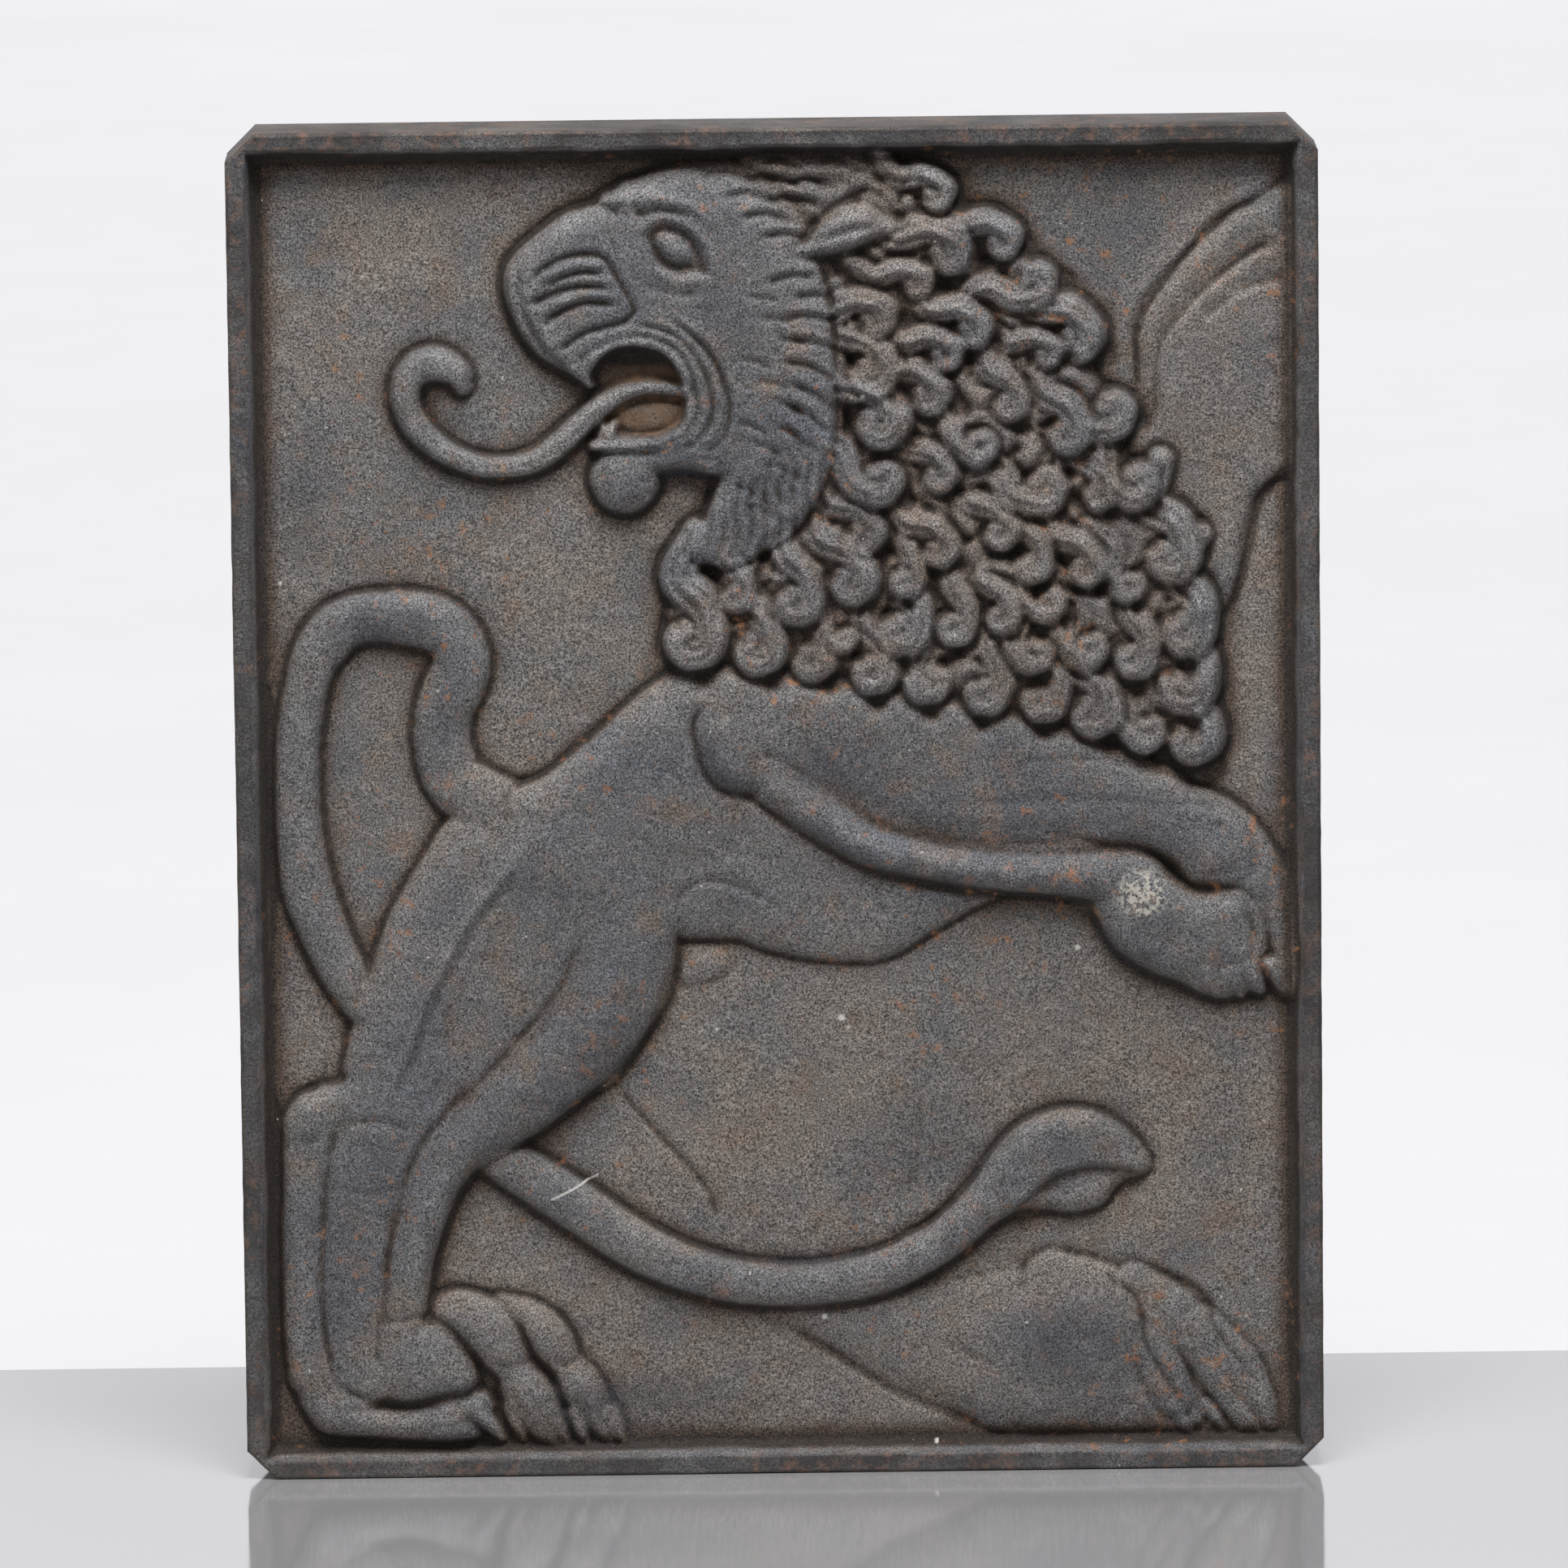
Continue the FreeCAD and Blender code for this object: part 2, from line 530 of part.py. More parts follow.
# Hanging ring: a wire swept around a triangle with bent corners, its bar in the eye.
ring = doc.addObject("PartDesign::Body", "hanging_ring")
wire_outline = side_circle(ring, "wire_outline", ["sizes.wire_size / 2"])
path = front_sketch(ring, "ring_path", "sizes.ring_level")
bar_height = size("ring_axis")
half_bar = size("ring_width") / 2
bend = size("ring_bend")
fall = size("ring_drop") - bend
slant = math.atan2(half_bar, fall)
outward = Vector(math.cos(slant), -math.sin(slant), 0) * bend
mirrored = Vector(-outward.x, outward.y, 0)
right_centre = Vector(half_bar, bar_height - bend, 0)
left_centre = Vector(-half_bar, bar_height - bend, 0)
foot_centre = Vector(0, right_centre.y - fall, 0)
bar_middle = Vector(0, bar_height, 0)


def bent(centre, start, end):
    return Part.ArcOfCircle(Part.Circle(centre, Vector(0, 0, 1), bend), start, end)


for piece in [
        Part.LineSegment(bar_middle, Vector(half_bar, bar_height, 0)),
        bent(right_centre, -slant, math.pi / 2),
        Part.LineSegment(right_centre + outward, foot_centre + outward),
        bent(foot_centre, math.pi + slant, 2 * math.pi - slant),
        Part.LineSegment(foot_centre + mirrored, left_centre + mirrored),
        bent(left_centre, math.pi / 2, math.pi + slant),
        Part.LineSegment(Vector(-half_bar, bar_height, 0), bar_middle)]:
    path.addGeometry(piece, False)
for first, first_end, second, second_end in [
        (0, 2, 1, 2), (1, 1, 2, 1), (2, 2, 3, 2), (3, 1, 4, 1), (4, 2, 5, 2), (5, 1, 6, 1)]:
    path.addConstraint(Sketcher.Constraint("Tangent", first, first_end, second, second_end))
path.addConstraint(Sketcher.Constraint("Coincident", 6, 2, 0, 1))
path.addConstraint(Sketcher.Constraint("Horizontal", 0))
path.addConstraint(Sketcher.Constraint("PointOnObject", 0, 1, -2))
path.addConstraint(Sketcher.Constraint("PointOnObject", 3, 3, -2))
path.addConstraint(Sketcher.Constraint("Equal", 1, 5))
path.addConstraint(Sketcher.Constraint("Equal", 1, 3))
path.addConstraint(Sketcher.Constraint("Symmetric", 1, 3, 5, 3, -2))
bind(path, Sketcher.Constraint("DistanceY", -1, 1, 0, 1, bar_height), "sizes.ring_axis")
bind(path, Sketcher.Constraint("Radius", 1, bend), "sizes.ring_bend")
bind(path, Sketcher.Constraint("DistanceX", 5, 3, 1, 3, 2 * half_bar), "sizes.ring_width")
bind(path, Sketcher.Constraint("DistanceY", 3, 3, 0, 1, size("ring_drop")), "sizes.ring_drop")
doc.recompute()
sweep = ring.newObject("PartDesign::AdditivePipe", "ring_sweep")
sweep.Profile = wire_outline
sweep.Spine = (path, [])
doc.recompute()


def round_bar(name, radius, length, start, drop):
    """Cylinder that runs from a level towards the front, at a screw's height."""
    bar = doc.addObject("Part::Cylinder", name)
    bar.setExpression("Radius", radius)
    bar.setExpression("Height", length)
    bar.Placement = FreeCAD.Placement(Vector(0, 0, 0), FreeCAD.Rotation(Vector(1, 0, 0), 90))
    bar.setExpression("Placement.Base.y", start)
    bar.setExpression("Placement.Base.z", f"sizes.ring_axis - ({drop})")
    return bar


# Pan head screws.
screw_solids = []
for number, drop in enumerate(SCREW_DROPS, start=1):
    head = round_bar(f"head_{number}", "sizes.head_diameter / 2", "sizes.head_height",
                     "sizes.strap_level + sizes.head_height", drop)
    shank = round_bar(f"shank_{number}", "sizes.screw_size / 2", "sizes.strap_thickness + sizes.screw_grip",
                      "sizes.strap_level", drop)
    screw = doc.addObject("Part::Fuse", f"screw_{number}")
    screw.Base = head
    screw.Tool = shank
    screw_solids.append(screw)
screws = doc.addObject("Part::Compound", "saddle_screws")
screws.Links = screw_solids
doc.recompute()

for item in doc.Objects:
    if "Invalid" in item.State or "Error" in item.State:
        raise RuntimeError(f"{item.Name} did not build")

os.makedirs("parts", exist_ok=True)
for node in (casting, saddle, ring, screws):
    node.Label = node.Name
    if node.Shape.isNull() or not node.Shape.isValid():
        raise RuntimeError(f"{node.Name} has no sound shape")
    print(node.Label, len(node.Shape.Solids), "solids", round(node.Shape.Volume), "mm3")
    node.Shape.exportStep(f"parts/{node.Label}.step")
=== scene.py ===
import math

import bpy
import numpy as np
from mathutils import Matrix, Vector


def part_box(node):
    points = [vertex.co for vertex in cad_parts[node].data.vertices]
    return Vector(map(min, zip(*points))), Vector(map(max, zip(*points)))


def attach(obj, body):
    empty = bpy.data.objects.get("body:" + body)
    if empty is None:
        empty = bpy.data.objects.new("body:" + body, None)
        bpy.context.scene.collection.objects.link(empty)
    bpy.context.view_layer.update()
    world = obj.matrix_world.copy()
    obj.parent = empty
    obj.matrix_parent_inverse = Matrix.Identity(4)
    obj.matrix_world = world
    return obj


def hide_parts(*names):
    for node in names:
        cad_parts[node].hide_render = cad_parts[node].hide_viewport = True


# Looks of a cast iron relief plaque: the carved front, the rim and hollow back, and the hanger.
# The frame is in metres; the relief is drawn in millimetres, from the front's lower left corner.

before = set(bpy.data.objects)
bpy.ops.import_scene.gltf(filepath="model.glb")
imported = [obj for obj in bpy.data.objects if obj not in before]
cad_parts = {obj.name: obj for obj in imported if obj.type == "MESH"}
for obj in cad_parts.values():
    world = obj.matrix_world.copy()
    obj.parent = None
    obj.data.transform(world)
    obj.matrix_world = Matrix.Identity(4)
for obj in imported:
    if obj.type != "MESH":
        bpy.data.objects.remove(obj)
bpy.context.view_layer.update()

MM = 0.001
casting_low, casting_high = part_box("plaque_casting")
WIDE = (casting_high.x - casting_low.x) / MM
TALL = (casting_high.z - casting_low.z) / MM
BACK = casting_high.y / MM
DEPTH = 26.0
RECESS = 8.0
PLATE = 7.0
SKIRT = 7.0
LIP_FLAT = 5.5
LIP_SLOPE = 3.5
CORNER_CUT = 8.5
EDGE_ROUND = 1.2
LIP = BACK - DEPTH
GROUND = LIP + RECESS
PLATE_BACK = GROUND + PLATE
HIGHEST = GROUND - casting_low.y / MM - 0.05
CORNERS = [(0, 0), (0, TALL), (WIDE, 0), (WIDE, TALL)]

GRID_STEP = 0.65
# How round the sections are: 0.5 is an ellipse, more is softer at the foot.
LIMB_SOFTNESS = 0.56
MASS_SOFTNESS = 0.6
# Points per stretch of an open and a closed line.
LINE_PARTS, OUTLINE_PARTS = 6, 4
# Room for ditches around a form, and how far they run in under it.
DITCH_ROOM, DITCH_OVERLAP = 5, 0.6
# Softness between heights, and what a melting edge takes from its ditch and adds to its fillet.
LEVEL_SOFTNESS, MELT_ENDS_DITCH, MELT_FILLET = 5, 5, 0.08
# Flanks of a stroke, in its widths, and what is left of it at its ends.
FLANKS, END_SHARE = 3, 0.15
FAR = 1e9
EVERYWHERE = (slice(None), slice(None))
rng = np.random.default_rng(11)


def even_steps(first, last, step):
    return np.linspace(first, last, round((last - first) / step) + 1)


across = even_steps(EDGE_ROUND, WIDE - EDGE_ROUND, GRID_STEP)
up = even_steps(EDGE_ROUND, TALL - EDGE_ROUND, GRID_STEP)
U, V = np.meshgrid(across, up, indexing="ij")
height = np.zeros_like(U)


# Drawing tools for the relief.
def curve(points, closed=False):
    """Smooth line through points, or through stations with more values than two."""
    points = np.array(points, float)
    if closed:
        padded = np.vstack([points[-1:], points, points[:2]])
    else:
        padded = np.vstack([2 * points[0] - points[1], points, 2 * points[-1] - points[-2]])
    parts = OUTLINE_PARTS if closed else LINE_PARTS
    line = []
    for a, b, c, d in zip(padded, padded[1:], padded[2:], padded[3:]):
        for s in np.arange(parts) / parts:
            line.append(0.5 * (2 * b + (c - a) * s + (2 * a - 5 * b + 4 * c - d) * s ** 2
                               + (3 * b - a - 3 * c + d) * s ** 3))
    line.append(points[0] if closed else points[-1])
    return np.array(line)


def window(line, margin):
    """Part of the grid around a line."""
    low = line[:, :2].min(0) - margin
    high = line[:, :2].max(0) + margin
    return (slice(*np.searchsorted(across, [low[0], high[0]])),
            slice(*np.searchsorted(up, [low[1], high[1]])))


def nearest(line, spot):
    """Distance of each grid place to a line, its place along the line and its side, left being 1."""
    x, y = U[spot], V[spot]
    best = np.full(x.shape, FAR)
    along = np.zeros(x.shape)
    side = np.zeros(x.shape)
    for index, (start, end) in enumerate(zip(line[:-1, :2], line[1:, :2])):
        run = end - start
        ahead = (x - start[0]) * run[0] + (y - start[1]) * run[1]
        share = np.clip(ahead / max(run @ run, 1 / FAR), 0, 1)
        off_x = x - start[0] - share * run[0]
        off_y = y - start[1] - share * run[1]
        away = np.hypot(off_x, off_y)
        closer = away < best
        best[closer] = away[closer]
        along[closer] = index + share[closer]
        side[closer] = np.sign(run[0] * off_y - run[1] * off_x)[closer]
    return best, along, side


def near(line, room):
    """Part of the grid around a line, and how its places lie to the line."""
    spot = window(line, room)
    return spot, *nearest(line, spot)


def inside(line, spot):
    """Which grid places a closed line holds."""
    x, y = U[spot], V[spot]
    held = np.zeros(x.shape, bool)
    for (a, b), (c, d) in zip(line[:-1, :2], line[1:, :2]):
        if b != d:
            held ^= ((b > y) != (d > y)) & (x < a + (y - b) * (c - a) / (d - b))
    return held


def raise_to(spot, new, blend=0.5):
    """Raises the relief to new heights, with a small fillet where forms meet."""
    old = height[spot]
    meet = np.clip(blend - np.abs(old - new), 0, None)
    merged = np.maximum(old, new) + np.where(new > 0, meet ** 2 / (4 * blend), 0)
    height[spot] = np.where(new > 0, merged, old)


def trench(spot, gap, depth, width=1.5):
    """Cuts a narrow ditch just outside a form."""
    height[spot] -= depth * np.exp(-(np.clip(gap, 0, None) / width) ** 2) * (gap > -DITCH_OVERLAP)


def limb(stations, ditch=0.7, fullness=2.0, blend=0.5, open_start=False):
    """Rounded limb through stations of across, up, half width and height."""
    line = curve(stations)
    spot, away, along, _ = near(line, line[:, 2].max() + DITCH_ROOM)
    places = np.arange(len(line))
    half = np.interp(along, places, line[:, 2])
    rise = np.interp(along, places, line[:, 3])
    if open_start:
        ditch = ditch * np.clip(along / LINE_PARTS - 0.5, 0, 1)
    trench(spot, away - half, ditch)
    raise_to(spot, rise * np.clip(1 - (away / half) ** fullness, 0, 1) ** LIMB_SOFTNESS, blend)


def levels(places, x, y):
    """Smooth heights between a few places of across, up and height."""
    total = np.zeros(x.shape)
    weights = np.zeros(x.shape)
    for a, b, rise in places:
        weight = 1 / ((x - a) ** 2 + (y - b) ** 2 + LEVEL_SOFTNESS ** 2) ** 1.5
        total += weight * rise
        weights += weight
    return total / weights


def mass(outline, rises, shoulder, ditch=0.7, blend=0.5):
    """Form inside an outline, rounded over a shoulder along its edge.

    A third value at a point widens the shoulder there, so that the form melts into its neighbour.
    """
    line = curve([point[:2] for point in outline], closed=True)
    spot, away, _, _ = near(line, DITCH_ROOM + 1)
    held = inside(line, spot)
    melt = levels([(*point, 0)[:3] for point in outline], U[spot], V[spot])
    trench(spot, np.where(held, -away, away), ditch * np.clip(1 - melt / MELT_ENDS_DITCH, 0, 1))
    rise = levels(rises, U[spot], V[spot])
    share = np.clip(away / (shoulder + melt), 0, 1)
    round_over = (1 - (1 - share) ** 2) ** MASS_SOFTNESS
    raise_to(spot, np.where(held, rise * round_over, 0), blend + MELT_FILLET * melt)


def eased(share):
    return share * share * (3 - 2 * share)


def sink(outline, floor, wall=1.6):
    """Lowers the inside of an outline to a floor."""
    line = curve(outline, closed=True)
    spot, away, _, _ = near(line, 2)
    share = eased(np.where(inside(line, spot), np.clip(away / wall, 0, 1), 0))
    height[spot] += (np.minimum(height[spot], floor) - height[spot]) * share


def ends(along, count, run):
    """Fades a stroke out at both of its ends."""
    share = along / (count - 1)
    return np.clip(np.minimum(share, 1 - share) / run + END_SHARE, 0, 1)


def groove(points, depth, width=1.0, run=0.2):
    """Stroke cut into the relief; a negative depth leaves a ridge."""
    line = curve(points)
    spot, away, along, _ = near(line, FLANKS * width)
    height[spot] -= depth * ends(along, len(line), run) * np.exp(-(away / width) ** 2)


def fold(points, drop, reach, edge=0.9, run=0.15):
    """Step along a line, whose left side stands over its right."""
    line = curve(points)
    spot, away, along, side = near(line, FLANKS * reach)
    below = np.clip(-away * side / edge, 0, 1)
    faded = ends(along, len(line), run) * np.exp(-(away / reach) ** 2)
    height[spot] -= drop * faded * below


def ball(a, b, radius, rise, base=0.0, ditch=0.5):
    """Round knob on a base height."""
    spot = window(np.array([(a, b)]), radius + DITCH_ROOM - 1)
    away = np.hypot(U[spot] - a, V[spot] - b)
    trench(spot, away - radius, ditch)
    dome = np.sqrt(np.clip(1 - (away / radius) ** 2, 0, 1))
    raise_to(spot, np.where(away < radius, base + (rise - base) * dome, 0), 0.3)


def cloud(step):
    """Smooth seeded noise between -1 and 1, with lumps about as wide as the step."""
    columns = int(WIDE / step) + 3
    rows = int(TALL / step) + 3
    values = rng.uniform(-1, 1, (columns, rows))
    x, y = U / step, V / step
    i, j = x.astype(int), y.astype(int)
    p, q = eased(x - i), eased(y - j)
    left = values[i, j] * (1 - q) + values[i, j + 1] * q
    right = values[i + 1, j] * (1 - q) + values[i + 1, j + 1] * q
    return left * (1 - p) + right * p


def blurred(field, radius, passes=3):
    """Field smoothed by passes of a square window."""
    cells = max(int(round(radius / GRID_STEP)), 1)
    for _ in range(passes):
        for axis in (0, 1):
            pad = [(cells + 1, cells) if k == axis else (0, 0) for k in (0, 1)]
            total = np.cumsum(np.pad(field, pad, mode="edge"), axis=axis)
            ahead = np.take(total, range(2 * cells + 1, total.shape[axis]), axis=axis)
            behind = np.take(total, range(0, total.shape[axis] - 2 * cells - 1), axis=axis)
            field = (ahead - behind) / (2 * cells + 1)
    return field


# Low forms of the background.
def draw_background():
    mass([(318, 379), (300, 377), (290, 370), (278, 357), (268, 342), (267, 325), (263, 300), (272, 275),
          (288, 255), (295, 262), (298, 278), (301, 290), (308, 296), (318, 301)],
         [(300, 340, 2.9), (280, 280, 1.9)], 6, 0.7)
    fold([(311, 378), (300, 376), (290, 370), (284, 362), (272, 350), (267, 340), (267, 325), (268, 315)],
         -1.5, 6, 1.2, 0.08)
    fold([(308, 366), (292, 355), (278, 340), (274, 330), (274, 313)], 1.9, 8, 1.2, 0.08)
    fold([(311, 354), (298, 350), (287, 342)], 1.3, 7, 1.4, 0.1)
    groove([(311, 379.5), (300, 377.5), (289, 371.5), (282.5, 363.5), (270.5, 351), (265.5, 340.5), (265.5, 325)],
           1.5, 1.2)
    groove([(311, 299), (305, 292.5), (302.5, 287.5), (298.5, 270), (293.5, 255)], 1.5, 1.3)
    groove([(311, 366), (300, 362), (288, 352)], 0.7, 1.6)
    mass([(154, 48), (165, 41), (180, 31), (195, 24), (210, 18), (220, 11), (245, 10), (272, 10), (284, 12),
          (284, 30, 6), (272, 50, 8), (262, 60, 8), (245, 61, 8), (230, 60, 8), (210, 56, 6), (185, 54), (168, 53)],
         [(180, 45, 1.6), (240, 40, 2.6), (270, 30, 2.2)], 12, 0.4)
    fold([(220, 11), (210, 18), (195, 24), (180, 31), (165, 41), (154, 48)], 0.8, 4)
    groove([(207, 38), (220, 32), (232, 29)], 0.6, 1.4)
    limb([(240, 56, 9, 2.2), (254, 52, 9, 3.2), (264, 45, 8.5, 3.4), (271, 33, 7.5, 3.2), (276, 20, 6, 2.4)],
         0.6, 2, 1.2)
    limb([(264, 55, 6, 2), (275, 47, 7, 2.8), (284, 36, 7, 2.8), (291, 24, 6, 2.4), (297, 13, 4, 1.6)], 0.6, 2, 0.8)
    limb([(284, 43, 5, 1.6), (295, 31, 5.5, 2.2), (301, 20, 4.5, 1.8), (304, 12, 3, 1.2)], 0.5, 2, 0.6)
    for a, b in [(268, 13), (277, 11), (287, 12), (297, 11)]:
        limb([(a - 2, b + 6, 2, 1.4), (a + 1, b + 2, 2, 1.6), (a + 4, b - 2, 1, 0.8)], 0.3)
    mass([(214, 44, 10), (230, 55), (252, 57), (263, 50), (267, 38), (264, 22), (252, 12), (232, 11), (218, 22, 10)],
         [(248, 36, 5.4), (230, 36, 4.2), (252, 20, 4)], 17, 0.25)
    groove([(254.8, 58.3), (265, 49.9), (267.6, 36.4), (274, 25), (280.4, 14.4)], 1.5, 1.2)
    groove([(270, 60), (284, 51.6), (289, 39.7), (296, 30), (303, 20)], 1.2, 1.1)
    groove([(163, 42), (180, 31), (192, 23), (206, 17), (219, 12)], 1.4, 1.2, 0.1)
    groove([(111, 116), (121, 104), (131, 93), (138, 84), (140, 76)], 1.3, 1.3, 0.12)
    groove([(201, 119), (200, 97), (197, 81)], 0.7, 1.7)
    groove([(150, 116), (158, 106), (163, 92)], 0.3, 2)


# Tail: the loop above the haunch, and the run that comes forward between the legs.
def draw_tail():
    limb([(80, 196, 12, 4), (65.5, 207.5, 9.2, 4.3), (62, 215, 8.9, 4.4), (61, 222.5, 8.6, 4.4),
          (62.2, 230.5, 8.8, 4.4), (65.2, 237.5, 9.2, 4.4), (67, 243, 8.8, 4.5), (66, 249, 8.5, 4.6),
          (62.5, 253.5, 8.5, 4.6), (57.5, 256, 8.6, 4.6), (50, 257.3, 8.4, 4.6), (44, 257.7, 7.8, 4.6),
          (37.5, 257.2, 7.6, 4.6), (31, 254.5, 7.8, 4.6), (26.5, 249.5, 7.8, 4.6), (23.5, 244.5, 7.2, 4.5),
          (21.3, 237.5, 6.8, 4.4), (19.7, 230, 6.8, 4.3), (18.2, 219, 7, 4.3), (17.7, 206, 7.2, 4.3),
          (18.4, 192, 7.4, 4.3), (20.6, 177, 8, 4.3), (24.7, 165, 7.6, 4.3), (30, 153, 7.2, 4.2),
          (38, 141, 7, 4)], 0.9, 2.4)
    limb([(62, 106, 7, 4.4), (80, 93, 7.5, 4.4), (99, 80, 7.8, 4.6), (120, 66, 7.6, 4.8), (143, 57.5, 7, 4.9),
          (167, 55.5, 6.6, 4.9), (188, 58.8, 6.8, 4.9), (203, 66, 6.6, 4.9), (212, 73, 5.5, 4.6)], 0.9, 2.3)
    mass([(196, 56, 10), (203.6, 58.4), (213.9, 65), (222.4, 72.5), (229.2, 76), (237.7, 77), (246.3, 76.2),
          (254.8, 78.6), (260, 84.4), (269.3, 89.6), (265, 99), (254.8, 106.5), (243, 108.2), (231, 104),
          (222.4, 95.5), (215.6, 85.4), (203.6, 73.6), (194, 68, 10)],
         [(206, 67, 4.9), (218, 79, 5), (232, 94, 5), (246, 99, 4.8), (258, 95, 4), (266, 90, 3),
          (245, 82, 4)], 6, 0.9)
    fold([(226, 76), (234.3, 84.2), (241, 89.3), (249.7, 91.6), (258.2, 91.4), (268, 89.6)], 2, 8, 1.2, 0.1)


# Trunk, haunch and hind feet.
def draw_hindquarters():
    limb([(76, 48, 6, 2.4), (85, 45, 6.8, 3.2), (91, 39, 6.8, 3.7), (95.5, 32, 5.2, 2.7), (99, 26, 6.8, 3.7),
          (103, 19, 6.2, 3.2), (108, 11, 3.5, 2)], 0.8)
    limb([(56, 44, 9, 2.8), (64, 47, 8.5, 4.4), (72, 43, 9, 5.4), (77, 36, 7.5, 4.8), (80, 31, 6.2, 3.8),
          (83, 25, 7.8, 5), (87, 18, 7.4, 4.4), (90, 12, 5, 3), (92, 9, 3, 1.8)], 0.9)
    for a, b in [(80, 13), (93, 12), (99, 11), (110, 11)]:
        limb([(a - 2, b + 7, 2.6, 2.6), (a, b + 2, 2.4, 2.8), (a + 2.5, b - 3.5, 1.2, 1.4)], 0.5)
    for points in [[(72, 26), (75, 20), (76, 13)], [(72, 34), (78, 32.5), (85, 34)],
                   [(91, 34), (95, 32.5), (99, 33.5)],
                   [(72, 52), (80.5, 45), (84, 36), (84.5, 33), (90, 27), (94.5, 18), (97, 9)],
                   [(86, 51.5), (95, 45.5), (98.5, 37), (99, 33), (105, 27), (109.5, 18), (112, 11)]]:
        groove(points, 0.8)
    mass([(80, 203), (91, 210), (105, 221), (122, 236), (140, 244), (180, 240), (230, 230), (272, 212),
          (281, 204), (264, 186), (240, 176), (226, 172), (219, 169), (212, 165), (203, 160), (196, 155.5),
          (188, 153), (178, 153), (165, 154.5), (155, 157), (147, 160), (131, 160), (110, 160), (86, 176)],
         [(95, 195, 5.6), (120, 205, 5.6), (150, 180, 4.6), (180, 165, 3.2), (205, 172, 3.4), (230, 200, 4.8),
          (170, 225, 5.4), (260, 205, 4.6), (140, 230, 5.4), (150, 165, 3.4)], 11, 0.9)
    mass([(131, 147), (138, 147.5), (145, 151), (144, 156, 3), (138, 158.5, 8), (130, 158, 8)],
         [(138, 152, 1.5)], 6, 0.3)
    groove([(129.7, 168), (131, 174), (135, 177), (142.5, 178), (151.7, 174.5), (161, 167.8)], 0.7, 1.3)
    fold([(163, 171), (155, 178.5), (146, 180), (138, 179.5), (131, 177)], 0.5, 10, 6)
    mass([(64, 199), (56, 188), (51, 180), (45, 170), (41, 160), (37, 149), (34, 140), (31, 128), (30, 120),
          (30, 106, 12), (40, 92, 26), (58, 88, 14), (70, 97.5), (83, 105), (95, 110), (105, 115), (111, 118),
          (120, 131), (126, 140), (129, 150), (130.5, 163), (132, 177, 10), (128, 192, 30), (114, 206, 34),
          (96, 207, 30), (80, 204, 16)],
         [(60, 185, 5.2), (55, 160, 5.2), (44, 135, 5), (70, 172, 5.2), (85, 188, 5.7), (100, 150, 5),
          (112, 160, 5.6), (85, 130, 4.8), (64, 112, 4.8), (48, 110, 5.2), (118, 180, 6), (100, 190, 6),
          (70, 150, 4.6), (66, 138, 4.5), (120, 145, 5.2), (92, 165, 5)], 13, 0.8)
    limb([(88, 192, 9, 5.6), (71, 169, 9.5, 6), (58, 148, 9.5, 5.9), (49, 127, 9.5, 5.8), (43, 112, 9, 5.6)],
         0, 2, 2)
    groove([(86, 190), (69, 169), (56, 146), (48, 125), (42, 114)], -1, 1.2)
    groove([(89, 188), (72, 167), (59, 145), (51, 124), (45, 113)], 0.8, 1.8)
    mass([(30, 119), (23, 117.5), (15.5, 112), (11.5, 103), (11, 80), (11, 50), (12, 35), (16, 22), (22, 16),
          (40, 20), (54, 40, 6), (54, 57), (56, 65), (59, 76), (63, 87), (70, 97, 6), (72, 116, 30),
          (50, 128, 30), (36, 126, 14)],
         [(18, 100, 4.6), (17, 66, 4.4), (16, 40, 4.4), (26, 97, 6), (24, 66, 6), (30, 66, 6),
          (36, 66, 5.9), (46, 66, 5), (52, 70, 4.4), (48, 92, 5.9), (58, 96, 6.4), (40, 108, 6.2),
          (30, 112, 5), (34, 40, 5.8), (46, 46, 5)], 6, 0.9)
    limb([(56, 122, 11, 5.6), (45, 109, 11, 6.2), (40, 98, 10, 6.1), (35, 84, 9, 6), (33.5, 64, 9, 6),
          (33, 46, 9, 5.8), (34, 34, 9, 5.4)], 0.4, 2, 1.2)
    limb([(20, 102, 7, 4.9), (17.5, 84, 6.4, 5), (17, 64, 6.2, 5), (17, 44, 6.2, 4.8), (19, 30, 7, 4.6)],
         0.5, 2, 0.8)
    groove([(26, 31), (23, 46), (22.5, 66), (25.5, 97), (29, 108)], 0.9, 1.4)
    groove([(30, 106), (40, 107.5), (52, 104)], 0.7, 1.3)
    groove([(29, 87), (38, 85.5), (48, 88)], 0.5, 1.4)
    limb([(118, 176, 11, 5.2), (114.5, 157, 14, 7.2), (106, 137, 14.5, 8.2), (84, 114.5, 12.4, 8),
          (67, 101.5, 9.8, 7.6), (58.5, 91, 8.4, 7.2), (54, 80, 7.6, 6.9), (50, 66, 7, 6.6), (48, 52, 6.8, 6),
          (46, 38, 6.8, 5.6)],
         0.9, 2, 1.4, True)
    mass([(11.5, 103), (12.5, 109), (16, 114), (21.5, 116.5), (27, 115), (29.5, 108), (27, 100), (20, 97, 6),
          (14, 98, 4)], [(20, 107, 6.4)], 9, 0.6)
    mass([(36, 44, 10), (47, 46.5), (54, 47.5), (61, 44), (66, 38), (69, 31), (68, 24), (60, 20), (46, 20),
          (34, 26, 10)],
         [(56, 36, 7.4), (44, 34, 6.6), (62, 28, 6.6)], 12, 1)
    mass([(20, 14), (27, 11), (40, 10), (52, 8.8), (64, 8.8), (70, 11), (70, 16), (74, 19), (71, 25), (60, 24),
          (46, 21), (34, 24), (24, 29, 6), (14, 27, 8)],
         [(22, 20, 5.4), (40, 16, 5), (60, 16, 5.6), (70, 17, 5)], 7, 0.8)
    groove([(26, 27), (34, 23), (42, 20.5), (50, 21), (60, 24), (68, 26)], 0.9, 1.3)
